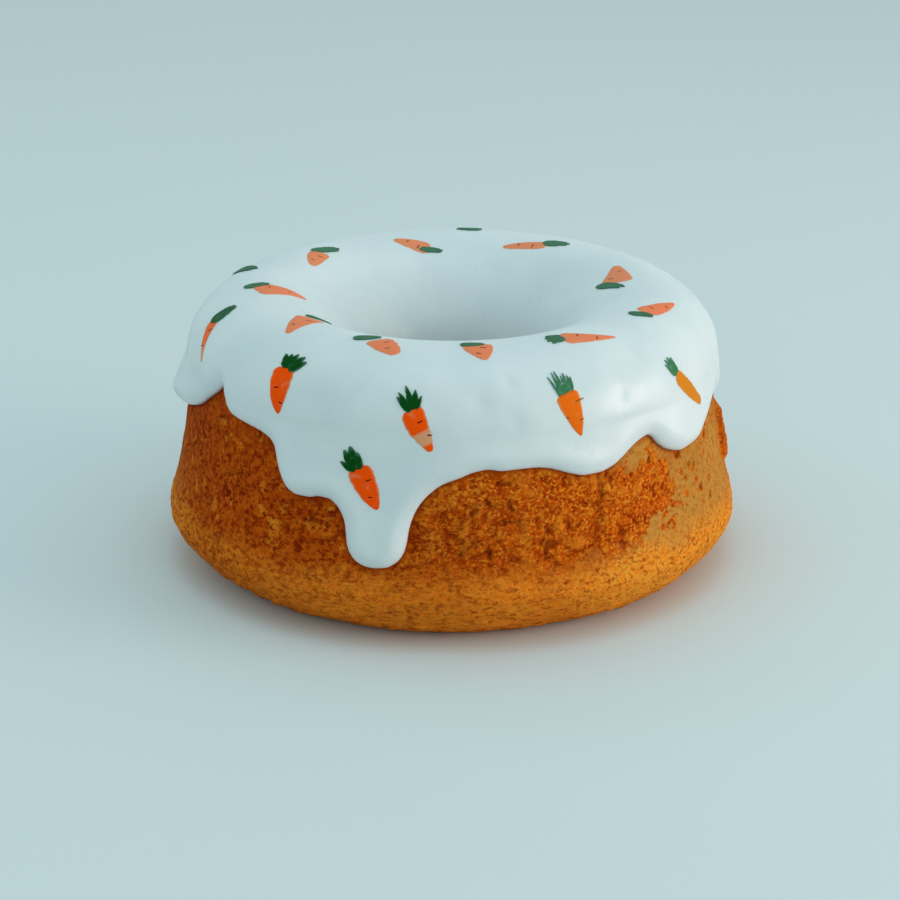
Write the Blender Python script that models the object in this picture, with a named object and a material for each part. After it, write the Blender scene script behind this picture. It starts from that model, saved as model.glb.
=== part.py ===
"""Ring carrot cake: a turned-out sponge ring, poured white icing and small carrots painted on it.

Run with: blender --background --python part.py

The cake stands on the plane Z = 0 with its centre line on Z and its front towards -Y. Sizes are
in millimetres and angles in degrees until a mesh is made, which is in metres.

Every piece is laid out on one cross-section of the sponge, with two coordinates:
  azimuth  the angle about Z, 0 at the front and growing towards +X
  run      the length along the cross-section from its highest ring, positive down the outside
           and negative down into the hole
"""

import bpy
import numpy as np

MM = 0.001

# Sponge: an upside-down ring whose open, risen side is below
FOOT_RADIUS = 89.5
BULGE_RADIUS = 110.0
BULGE_HEIGHT = 20.0
BULGE_FULLNESS = 1.48
BULGE_FADE = 17.0
WALL_RADIUS = 101.8
WALL_LEVEL = 58.0
WALL_TAPER = 0.18
WALL_TOP = 78.0
CREST_RADIUS = 73.5
CREST_HEIGHT = 99.6
SHOULDER_FULLNESS = 2.07
FUNNEL_RADIUS = 43.0
FUNNEL_DROP = 20.0
FUNNEL_POWER = 2.2
THROAT_RADIUS = 34.5
THROAT_HEIGHT = 42.0
THROAT_PULL = 38.0
HOLE_FOOT_RADIUS = 36.0
LEAN = 0.022

# Icing: a coat over the crest that ends in drips outside and a shorter hem in the hole
GAP = 0.4
COAT = 3.2
EDGE = 0.7
EDGE_ROUND = 4.0
OUTER_HEM = (
    (-180, 46), (-171, 54), (-164, 52), (-155, 43), (-146, 49), (-140, 63), (-135, 68),
    (-129.5, 64), (-122, 47), (-114, 44), (-106, 55), (-98, 60), (-86, 56), (-76, 51),
    (-69, 44), (-60, 42), (-53.5, 33), (-50, 39.5), (-39, 43), (-34, 56), (-28.5, 61),
    (-23, 61.5), (-19.7, 74), (-16.7, 82.5), (-13.5, 84.5), (-10.7, 83), (-7.9, 72), (-4.3, 58),
    (0, 51.5), (8, 48), (18, 48.5), (27, 53), (33, 50), (38, 45), (43, 43.5), (47.5, 52),
    (54, 55.5), (61, 52), (69, 45), (79, 43), (88, 45), (96, 56), (101, 63), (106, 61),
    (113, 47), (120, 43), (127, 51), (133, 59), (139, 57), (147, 46), (156, 46), (163, 57),
    (170, 58),
)
HOLE_HEM = 58.0
HOLE_HEM_WAVES = ((2, 2.0, 40.0), (3, 2.5, -65.0), (5, 1.8, 20.0))
SWELLS = (
    (-84, 44, 3.6, 15), (53, 45, 1.6, 11), (-14, 74, 1.0, 9), (-27, 55, 0.8, 9),
    (-136, 58, 1.6, 11), (102, 53, 1.5, 11), (167, 49, 1.4, 11),
)

# Painted carrots: azimuth and run of the crown, heading, length and width of the root. The
# heading is 0 towards the foot of the cake and grows towards a larger azimuth.
PAINT_GAP = 0.45
PAINT_THICKNESS = 0.5
LEAF_LENGTH = 7.5
LEAF_STEM = 0.8
LEAF_OUTLINE = (
    (52, 0.45), (36, 0.92), (18, 0.6), (0, 1.0), (-18, 0.62), (-40, 0.9), (-56, 0.4),
)
CARROTS = (
    (-117, 17, 8, 16, 7.4), (-87.5, -2, -169, 17, 7.6), (-130, -4.5, 112, 14.5, 7.8),
    (-170, -12, 58, 14.5, 7.0), (175, 3, 5, 16, 7.4), (146, -6, 107, 17, 5.4),
    (98, -10, 67, 17.5, 8.0), (63.5, 3, 70, 19, 7.0), (31, 2, 69, 19.5, 7.6),
    (6, 1, 25, 11.0, 9.0), (-22, -1, 55, 14.5, 8.2), (-50.5, -5, 30, 14.5, 9.0),
    (-72, 17, 35, 13.5, 6.4), (-38, 20, 7, 15, 7.6), (-8.5, 27.5, 28, 16, 7.6),
    (-18.2, 49, 29, 15.5, 7.4), (23.7, 24, 12, 16, 7.6), (54.5, 28.5, 40, 16.5, 6.6),
    (101, 36, -18, 16, 7.4), (131, 31, 14, 16, 7.2), (153, 22, -24, 15, 7.6),
    (-166, 29, 20, 16, 7.4), (-137, 40, -12, 16, 7.4), (-103, 34, 10, 16, 7.0),
)

# Faceting
COLUMNS = 90
FINEST_AZIMUTH = -14.0
CROWDING = 0.35
OUTER_ROWS = 3
ROOT_STATIONS = (0.0, 0.1, 0.3, 0.55, 0.8, 1.0)

CRUMB_COLOUR = (0.42, 0.13, 0.022, 1.0)
ICING_COLOUR = (0.72, 0.82, 0.83, 1.0)
CARROT_COLOUR = (0.82, 0.16, 0.01, 1.0)
LEAF_COLOUR = (0.02, 0.11, 0.035, 1.0)


def wall_radius(height):
    """Outer radius of the sponge's straight wall, with the bulge fading out above its widest ring."""
    extra = BULGE_RADIUS - (WALL_RADIUS - WALL_TAPER * (BULGE_HEIGHT - WALL_LEVEL))
    fade = np.clip((height - BULGE_HEIGHT) / BULGE_FADE, 0.0, 1.0)
    return (
        WALL_RADIUS - WALL_TAPER * (height - WALL_LEVEL) + extra * (0.5 + 0.5 * np.cos(np.pi * fade))
    )


def foot_arc(turn):
    """Quarter superellipse from the foot out to the widest ring, for turns from 0 to 1."""
    angle = turn * np.pi / 2
    power = 2 / BULGE_FULLNESS
    radius = FOOT_RADIUS + (BULGE_RADIUS - FOOT_RADIUS) * np.sin(angle) ** power
    return radius, BULGE_HEIGHT * (1 - np.cos(angle) ** power)


def shoulder_arc(turn):
    """Quarter superellipse from the top of the wall to the highest ring."""
    angle = turn * np.pi / 2
    power = 2 / SHOULDER_FULLNESS
    start = wall_radius(WALL_TOP)
    radius = CREST_RADIUS + (start - CREST_RADIUS) * np.cos(angle) ** power
    return radius, WALL_TOP + (CREST_HEIGHT - WALL_TOP) * np.sin(angle) ** power


def funnel_arc(turn):
    """Curve from the highest ring into the hole, which falls away as a power of the distance."""
    radius = CREST_RADIUS + (FUNNEL_RADIUS - CREST_RADIUS) * turn
    return radius, CREST_HEIGHT - FUNNEL_DROP * turn**FUNNEL_POWER


def throat_arc(turn):
    """Hermite curve from the end of the funnel's slope to the upright wall of the hole."""
    slope = np.array([-1.0, -FUNNEL_DROP * FUNNEL_POWER / (CREST_RADIUS - FUNNEL_RADIUS)])
    leaving = THROAT_PULL * slope / np.linalg.norm(slope)
    arriving = THROAT_PULL * np.array([0.0, -1.0])
    start = np.array([FUNNEL_RADIUS, CREST_HEIGHT - FUNNEL_DROP])
    end = np.array([THROAT_RADIUS, THROAT_HEIGHT])
    t = np.atleast_1d(turn)[:, None]
    points = (2 * t**3 - 3 * t**2 + 1) * start + (t**3 - 2 * t**2 + t) * leaving
    points = points + (3 * t**2 - 2 * t**3) * end + (t**3 - t**2) * arriving
    return points[:, 0], points[:, 1]


def fine_section():
    """The upper cross-section as fine arrays of run, radius, height and outward normal."""
    turn = np.linspace(0.0, 1.0, 241)
    heights = BULGE_HEIGHT + (WALL_TOP - BULGE_HEIGHT) * turn
    stretches = (
        (wall_radius(heights), heights),
        shoulder_arc(turn),
        funnel_arc(turn),
        throat_arc(turn),
    )
    radius = np.concatenate([r[:-1] for r, _ in stretches])
    height = np.concatenate([h[:-1] for _, h in stretches])
    length = np.concatenate([[0.0], np.cumsum(np.hypot(np.diff(radius), np.diff(height)))])
    run = length[np.argmax(height)] - length
    out = np.gradient(height, length)
    up = -np.gradient(radius, length)
    order = np.argsort(run)
    return run[order], radius[order], height[order], out[order], up[order]


SECTION = fine_section()


def on_section(run, offset=0.0):
    """Radius and height at a run along the section, moved outwards along its normal by offset."""
    runs, radii, heights, outs, ups = SECTION
    out = np.interp(run, runs, outs)
    up = np.interp(run, runs, ups)
    length = np.hypot(out, up)
    radius = np.interp(run, runs, radii) + offset * out / length
    return radius, np.interp(run, runs, heights) + offset * up / length


def in_space(azimuth, radius, height):
    """Points in millimetres; the whole cake rises a little towards its back."""
    angle = np.radians(azimuth)
    x = radius * np.sin(angle)
    y = -radius * np.cos(angle)
    return np.stack(np.broadcast_arrays(x, y, height * (1 + LEAN * y / CREST_HEIGHT)), axis=-1)


def outer_hem(azimuth):
    """Run of the icing's outer edge: a monotone cubic through the drips, once round the cake."""
    knots = np.array(OUTER_HEM, float)
    x = np.concatenate([knots[:, 0] - 360, knots[:, 0], knots[:, 0] + 360])
    y = np.tile(knots[:, 1], 3)
    step = np.diff(x)
    slope = np.diff(y) / step
    tangent = np.zeros(len(x))
    same = slope[:-1] * slope[1:] > 0
    w1 = 2 * step[1:] + step[:-1]
    w2 = step[1:] + 2 * step[:-1]
    safe = np.where(same, slope[:-1], 1.0), np.where(same, slope[1:], 1.0)
    tangent[1:-1] = np.where(same, (w1 + w2) / (w1 / safe[0] + w2 / safe[1]), 0.0)
    i = np.clip(np.searchsorted(x, azimuth, side="right") - 1, 0, len(step) - 1)
    t = (azimuth - x[i]) / step[i]
    value = (2 * t**3 - 3 * t**2 + 1) * y[i] + (3 * t**2 - 2 * t**3) * y[i + 1]
    return value + step[i] * ((t**3 - 2 * t**2 + t) * tangent[i] + (t**3 - t**2) * tangent[i + 1])


def hole_hem(azimuth):
    """Run of the icing's edge inside the hole: a slow sum of waves."""
    angle = np.radians(azimuth)
    waves = sum(size * np.cos(count * angle - np.radians(at)) for count, size, at in HOLE_HEM_WAVES)
    return -(HOLE_HEM + waves)


def edge_distance(azimuth, run, hem):
    """Distance from the hem's curve: the distance along the run, shortened where the hem is steep."""
    step = 0.5
    radius, _ = on_section(run)
    slope = (hem(azimuth + step) - hem(azimuth - step)) / (2 * step)
    steepness = slope / (np.maximum(radius, 1.0) * np.radians(1.0))
    return np.abs(hem(azimuth) - run) / np.sqrt(1 + steepness**2)


def coat_thickness(azimuth, run):
    """Thickness of the icing: an even coat, swollen where it gathered, round towards both hems."""
    azimuth, run = np.broadcast_arrays(np.asarray(azimuth, float), np.asarray(run, float))
    radius, _ = on_section(run)
    coat = np.full(run.shape, COAT)
    for at_azimuth, at_run, swell, reach in SWELLS:
        around = (azimuth - at_azimuth + 180) % 360 - 180
        distance = np.hypot(np.radians(around) * radius, run - at_run)
        coat = coat + swell * np.exp(-((distance / reach) ** 2))
    distance = np.minimum(
        edge_distance(azimuth, run, outer_hem), edge_distance(azimuth, run, hole_hem)
    )
    inward = 1 - np.clip(distance / EDGE_ROUND, 0.0, 1.0)
    return EDGE + (coat - EDGE) * np.sqrt(np.maximum(1 - inward**2, 0.0))


def icing_surface(azimuth, run, lift=0.0):
    """Point of the icing's outer face, or a little above it."""
    thickness = coat_thickness(azimuth, run)
    radius, height = on_section(run, GAP + thickness + lift)
    return in_space(azimuth, radius, height)


def finish(name, colour, roughness):
    """A plain Principled material."""
    made = bpy.data.materials.new(name)
    made.use_nodes = True
    shader = made.node_tree.nodes["Principled BSDF"]
    shader.inputs["Base Color"].default_value = colour
    shader.inputs["Roughness"].default_value = roughness
    shader.inputs["Metallic"].default_value = 0.0
    made.diffuse_color = colour
    return made


def add_object(name, points, faces, material, smooth=True):
    """A mesh object from points in millimetres and lists of corner numbers."""
    mesh = bpy.data.meshes.new(name)
    mesh.from_pydata((np.asarray(points) * MM).tolist(), [], faces)
    mesh.materials.append(material)
    if smooth:
        mesh.shade_smooth()
        mesh.set_sharp_from_angle(angle=np.radians(50))
    mesh.update()
    made = bpy.data.objects.new(name, mesh)
    bpy.context.scene.collection.objects.link(made)
    return made


def ring_solid(name, rows, material):
    """A closed ring from rows of points, each once round the cake; the last row joins the first."""
    count, columns = len(rows), len(rows[0])
    faces = []
    for i in range(count):
        for j in range(columns):
            below, above = i * columns, (i + 1) % count * columns
            right = (j + 1) % columns
            faces.append((below + j, below + right, above + right, above + j))
    return add_object(name, np.concatenate(rows), faces, material)


def azimuths():
    """The columns' angles, closest together at the long drip, shared by sponge and icing."""
    even = 2 * np.pi * np.arange(COLUMNS) / COLUMNS
    return np.degrees(even - CROWDING * np.sin(even)) + FINEST_AZIMUTH


def crown_runs():
    """Runs of the rows over the crest, which sponge and icing share, from outside to inside."""
    return np.array([30.0, 21.5, 13.0, 4.0, -6.0, -18.0, -30.0, -42.0])


def build_sponge(material):
    """The sponge ring, from its foot up the outside, over the crest and down the hole."""
    around = azimuths()
    profile = [foot_arc(turn) for turn in (0.0, 0.25, 0.5, 0.75, 1.0)]
    profile += [(wall_radius(h), h) for h in (BULGE_HEIGHT + BULGE_FADE / 2, BULGE_HEIGHT + BULGE_FADE)]
    profile.append((wall_radius(WALL_TOP), WALL_TOP))
    profile += [on_section(run) for run in crown_runs()]
    profile.append((float(throat_arc(0.7)[0][0]), float(throat_arc(0.7)[1][0])))
    profile.append((THROAT_RADIUS, THROAT_HEIGHT))
    profile.append((HOLE_FOOT_RADIUS, 0.0))
    rows = [in_space(around, radius, height) for radius, height in profile]
    return ring_solid("cake_sponge", rows, material)


def build_icing(material):
    """The icing coat: its outer face from the outer hem to the hole's hem, and back underneath."""
    around = azimuths()
    crown = crown_runs()
    hem, inner = outer_hem(around), hole_hem(around)
    steps = np.array([0.0, 1.3, EDGE_ROUND])
    face = [hem - step for step in steps]
    for share in np.linspace(0.0, 1.0, OUTER_ROWS + 1)[1:-1]:
        face.append((hem - EDGE_ROUND) + (crown[0] - hem + EDGE_ROUND) * share)
    face += [np.full(COLUMNS, run) for run in crown]
    face += [inner + step for step in steps[::-1]]
    under = [inner] + [np.full(COLUMNS, run) for run in crown[::-1]] + [hem]
    rows = [icing_surface(around, run) for run in face]
    for run in under:
        radius, height = on_section(run, GAP)
        rows.append(in_space(around, radius, height))
    return ring_solid("icing", rows, material)


def painted_point(carrot, along, across, lift):
    """A point of the painted film, from lengths along and across a carrot's own axis."""
    azimuth, run, heading = carrot[:3]
    angle = np.radians(heading)
    down = along * np.cos(angle) - across * np.sin(angle)
    side = along * np.sin(angle) + across * np.cos(angle)
    radius, _ = on_section(run, COAT)
    return icing_surface(azimuth + np.degrees(side / radius), run + down, lift)


def film_solid(name, carrot, outline, faces, material):
    """A thin closed film over an outline of (along, across) points, with faces for its front."""
    along, across = np.array(outline, float).T
    back = painted_point(carrot, along, across, PAINT_GAP)
    front = painted_point(carrot, along, across, PAINT_GAP + PAINT_THICKNESS)
    count = len(outline)
    every = [tuple(corner + count for corner in face) for face in faces]
    every += [tuple(reversed(face)) for face in faces]
    every += [(i, (i + 1) % count, (i + 1) % count + count, i + count) for i in range(count)]
    made = add_object(name, np.concatenate([back, front]), every, material, smooth=False)
    return made


def root_half_width(share, width):
    """Half width of a root: a blunt crown, the widest part soon after it, then a slim tip."""
    blunt = np.sqrt(1 - (1 - np.clip((share + 0.05) / 0.3, 0.0, 1.0)) ** 2)
    return width / 2 * blunt * (1 - 0.78 * np.clip(share, 0.0, 1.0) ** 1.7)


def build_root(name, carrot, material):
    """The orange root, as a strip of quads between its two sides."""
    length, width = carrot[3:]
    shares = np.array(ROOT_STATIONS)
    half = root_half_width(shares, width)
    left = [(share * length, -w) for share, w in zip(shares, half)]
    right = [(share * length, w) for share, w in zip(shares, half)]
    outline = left + right[::-1]
    count = len(outline)
    faces = [(i, i + 1, count - 2 - i, count - 1 - i) for i in range(len(shares) - 1)]
    return film_solid(name, carrot, outline, faces, material)


def build_leaves(name, carrot, material):
    """The green tuft: three blades from one short stem, clear of the root by a thin gap."""
    start = -0.35
    outline = [(start, LEAF_STEM)]
    for spread, share in LEAF_OUTLINE:
        angle, reach = np.radians(spread), share * LEAF_LENGTH
        outline.append((start - reach * np.cos(angle), reach * np.sin(angle)))
    outline.append((start, -LEAF_STEM))
    faces = [(0, i, i + 1) for i in range(1, len(outline) - 1)]
    return film_solid(name, carrot, outline, faces, material)


def main():
    for old in list(bpy.data.objects):
        bpy.data.objects.remove(old, do_unlink=True)
    build_sponge(finish("sponge", CRUMB_COLOUR, 0.9))
    build_icing(finish("icing", ICING_COLOUR, 0.3))
    orange = finish("carrot_paint", CARROT_COLOUR, 0.4)
    green = finish("leaf_paint", LEAF_COLOUR, 0.45)
    for number, carrot in enumerate(CARROTS, start=1):
        build_root(f"carrot_{number:02d}_root", carrot, orange)
        build_leaves(f"carrot_{number:02d}_leaves", carrot, green)


main()
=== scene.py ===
"""Ring carrot cake: a baked sponge ring under poured white icing, with small carrots painted on it.

Lengths are in millimetres and angles in degrees until a mesh is made. Every piece is laid out with
the same two coordinates as the solids:
  azimuth  the angle about the upright axis, 0 at the front and growing towards +X
  run      the length along the sponge's cross-section from its highest ring, positive down the
           outside and negative down into the hole
"""

import logging
from dataclasses import dataclass
from enum import Enum
from functools import cached_property

import bpy
import numpy as np
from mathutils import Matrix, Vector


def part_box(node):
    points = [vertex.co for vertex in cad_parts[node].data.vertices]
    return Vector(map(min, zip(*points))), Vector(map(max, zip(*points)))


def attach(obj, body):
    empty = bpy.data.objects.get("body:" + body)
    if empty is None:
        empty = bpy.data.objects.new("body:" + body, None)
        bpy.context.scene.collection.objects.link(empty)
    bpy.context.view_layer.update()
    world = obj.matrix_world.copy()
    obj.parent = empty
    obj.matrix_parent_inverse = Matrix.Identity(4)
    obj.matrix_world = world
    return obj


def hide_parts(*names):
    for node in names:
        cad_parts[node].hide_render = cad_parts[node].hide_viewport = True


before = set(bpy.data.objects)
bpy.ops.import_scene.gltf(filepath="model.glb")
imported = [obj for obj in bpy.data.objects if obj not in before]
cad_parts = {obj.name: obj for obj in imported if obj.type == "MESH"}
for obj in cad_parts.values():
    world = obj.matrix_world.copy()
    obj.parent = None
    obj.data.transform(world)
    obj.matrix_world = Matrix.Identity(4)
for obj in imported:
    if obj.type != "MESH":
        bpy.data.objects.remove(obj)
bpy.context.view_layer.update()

Array = np.ndarray
Colour = tuple[float, float, float, float]
Socket = bpy.types.NodeSocket
LOG = logging.getLogger("carrot_cake")
STROKE_MAP = "stroke"


# ---------------------------------------------------------------- fields over space


def smooth_step(low: float, high: float, value: Array) -> Array:
    """Cubic ease 3u^2 - 2u^3 of where a value lies between low and high.

    Args:
        low: value that gives 0.
        high: value that gives 1.
        value: values to ease.

    Returns:
        Numbers from 0 to 1.
    """
    u = np.clip((np.asarray(value, float) - low) / (high - low), 0.0, 1.0)
    return u * u * (3 - 2 * u)


def lattice_random(cells: Array, seed: int) -> Array:
    """Repeatable random numbers from 0 to 1, one for each whole-numbered cell.

    Args:
        cells: whole numbers with three columns.
        seed: picks one of many patterns.

    Returns:
        One number per row of cells, from scrambling the bits of the three numbers.
    """
    c = cells.astype(np.int64)
    n = c[..., 0] * 73856093 ^ c[..., 1] * 19349663 ^ c[..., 2] * 83492791 ^ (seed * 2654435761)
    n = (n ^ (n >> 13)) * 1274126177 & 0xFFFFFFFF
    n = (n ^ (n >> 16)) * 668265263 & 0xFFFFFFFF
    return ((n ^ (n >> 15)) & 0xFFFFFF) / float(0x1000000)


def soft_noise(points: Array, size: float, seed: int) -> Array:
    """Value noise: random numbers on a cubic lattice, blended between corners with a cubic ease.

    Args:
        points: places in space.
        size: edge of a lattice cube, or three edges for a stretched pattern.
        seed: picks one of many patterns.

    Returns:
        Numbers from -1 to 1.
    """
    scaled = points / size
    base = np.floor(scaled)
    u = smooth_step(0.0, 1.0, scaled - base)
    total = np.zeros(points.shape[:-1])
    for corner in np.ndindex(2, 2, 2):
        weight = np.prod(np.where(np.array(corner) == 1, u, 1 - u), axis=-1)
        total += weight * lattice_random(base + np.array(corner), seed)
    return 2 * total - 1


@dataclass(frozen=True)
class Noise:
    """Noise over space: value noises summed, each half the size of the one before."""

    size: float | tuple[float, float, float]
    seed: int
    octaves: int = 3
    fade: float = 0.55

    def at(self, points: Array) -> Array:
        """Sum over the octaves k of fade^k times the value noise of size / 2^k, over the sum of fade^k.

        Args:
            points: places in space.

        Returns:
            Numbers mostly from -1 to 1.
        """
        total = np.zeros(points.shape[:-1])
        for octave in range(self.octaves):
            size = np.asarray(self.size) / 2**octave
            total += self.fade**octave * soft_noise(points, size, self.seed + octave)
        return total / sum(self.fade**octave for octave in range(self.octaves))


@dataclass(frozen=True)
class Pits:
    """Scattered round hollows: one jittered centre per cube of space, some of them left out."""

    spacing: float
    radius: tuple[float, float]
    share: float
    seed: int

    def at(self, points: Array) -> Array:
        """Depth of the hollows as a share of the whole.

        A point at distance d from a centre of radius r gets (1 - (d/r)^2)^2 inside r and 0 outside,
        and the largest value over the neighbouring cubes is kept.

        Args:
            points: places in space.

        Returns:
            0 outside the hollows, rising to 1 at their centres.
        """
        base = np.floor(points / self.spacing)
        deepest = np.zeros(points.shape[:-1])
        small, large = self.radius
        for shift in np.ndindex(3, 3, 3):
            cell = base + np.array(shift) - 1
            jitter = [lattice_random(cell, self.seed + k) for k in range(3)]
            centre = (cell + np.stack(jitter, axis=-1)) * self.spacing
            reach = small + (large - small) * lattice_random(cell, self.seed + 3) ** 2
            kept = lattice_random(cell, self.seed + 4) < self.share
            distance = np.sum((points - centre) ** 2, axis=-1) / reach**2
            deepest = np.maximum(deepest, np.where(kept, np.clip(1 - distance, 0, 1) ** 2, 0.0))
        return deepest


def hermite(t: Array) -> tuple[Array, Array, Array, Array]:
    """Weights of a cubic between two ends.

    Args:
        t: shares of the way from the first end to the second.

    Returns:
        Weights of the first place, the first slope, the second place and the second slope:
        2t^3 - 3t^2 + 1, t^3 - 2t^2 + t, 3t^2 - 2t^3 and t^3 - t^2.
    """
    return 2 * t**3 - 3 * t**2 + 1, t**3 - 2 * t**2 + t, 3 * t**2 - 2 * t**3, t**3 - t**2


def resample(wanted: Array, places: Array, values: Array) -> Array:
    """Straight-line interpolation down each column of a grid, whose columns have their own places.

    Args:
        wanted: the places to read, one column for each column of the grid.
        places: the places of the grid's rows, growing down each column.
        values: the grid's values.

    Returns:
        The values at the wanted places.
    """
    low = np.clip(np.sum(places[None] <= wanted[:, None], axis=1) - 1, 0, len(places) - 2)
    start, end = (np.take_along_axis(places, row, axis=0) for row in (low, low + 1))
    first, last = (np.take_along_axis(values, row, axis=0) for row in (low, low + 1))
    return (last - first) / (end - start) * (wanted - start) + first


def corner_vertices(mesh: bpy.types.Mesh) -> Array:
    """The vertex number of each corner of a mesh's faces.

    Args:
        mesh: the mesh.

    Returns:
        One number per corner.
    """
    corner = np.empty(len(mesh.loops), np.int32)
    mesh.loops.foreach_get("vertex_index", corner)
    return corner


def turn_between(azimuth: Array, other: Array | float) -> Array:
    """Angle from another azimuth, wrapped to between -180 and 180."""
    return (np.asarray(azimuth, float) - other + 180) % 360 - 180


# ---------------------------------------------------------------- meshes


def unit_scale() -> float:
    """Metres per millimetre of drawn size, from the width of the sponge's own solid."""
    low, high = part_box("cake_sponge")
    return float(high[0] - low[0]) / (2 * Section().bulge_radius)


def new_piece(name: str, points: Array, quads: Array, material: bpy.types.Material) -> bpy.types.Object:
    """A smooth mesh object on body "root", with its faces turned outwards.

    The volume is the sum over the faces of a corner's dot product with the face's vector area; where
    it is negative every face is reversed.

    Args:
        name: the piece's name.
        points: vertices in millimetres.
        quads: corner numbers, four to a face.
        material: the first material.

    Returns:
        The new object, at the origin, with its place in its mesh.
    """
    corners = points[quads]
    area = np.cross(corners[:, 2] - corners[:, 0], corners[:, 3] - corners[:, 1])
    if np.einsum("ij,ij->", corners.mean(axis=1), area) < 0:
        quads = quads[:, ::-1]
    mesh = bpy.data.meshes.new(name)
    mesh.vertices.add(len(points))
    mesh.vertices.foreach_set("co", (points * unit_scale()).astype(np.float32).ravel())
    mesh.loops.add(quads.size)
    mesh.loops.foreach_set("vertex_index", quads.astype(np.int32).ravel())
    mesh.polygons.add(len(quads))
    mesh.polygons.foreach_set("loop_start", np.arange(len(quads), dtype=np.int32) * 4)
    mesh.update(calc_edges=True)
    mesh.validate()
    mesh.shade_smooth()
    mesh.materials.append(material)
    made = bpy.data.objects.new(name, mesh)
    bpy.context.scene.collection.objects.link(made)
    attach(made, "root")
    return made


def grid_quads(rows: int, columns: int, wrap_rows: bool, wrap_columns: bool) -> Array:
    """Corner numbers of the quads of a grid whose vertices are counted along its rows.

    Args:
        rows: number of rows.
        columns: number of columns.
        wrap_rows: whether the last row joins the first.
        wrap_columns: whether the last column joins the first.

    Returns:
        Four corner numbers per quad.
    """
    i, j = np.meshgrid(
        np.arange(rows if wrap_rows else rows - 1),
        np.arange(columns if wrap_columns else columns - 1),
        indexing="ij",
    )
    right, above = (j + 1) % columns, (i + 1) % rows
    low, high = i * columns, above * columns
    return np.stack([low + j, low + right, high + right, high + j], -1).reshape(-1, 4)


def add_mask(piece: bpy.types.Object, name: str, values: Array) -> None:
    """Stores one number per vertex under a name that the piece's material reads.

    Args:
        piece: the mesh object.
        name: the attribute's name.
        values: one number per vertex.
    """
    layer = piece.data.attributes.new(name, "FLOAT", "POINT")
    layer.data.foreach_set("value", np.ascontiguousarray(values, np.float32).ravel())


# ---------------------------------------------------------------- shared layout


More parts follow.
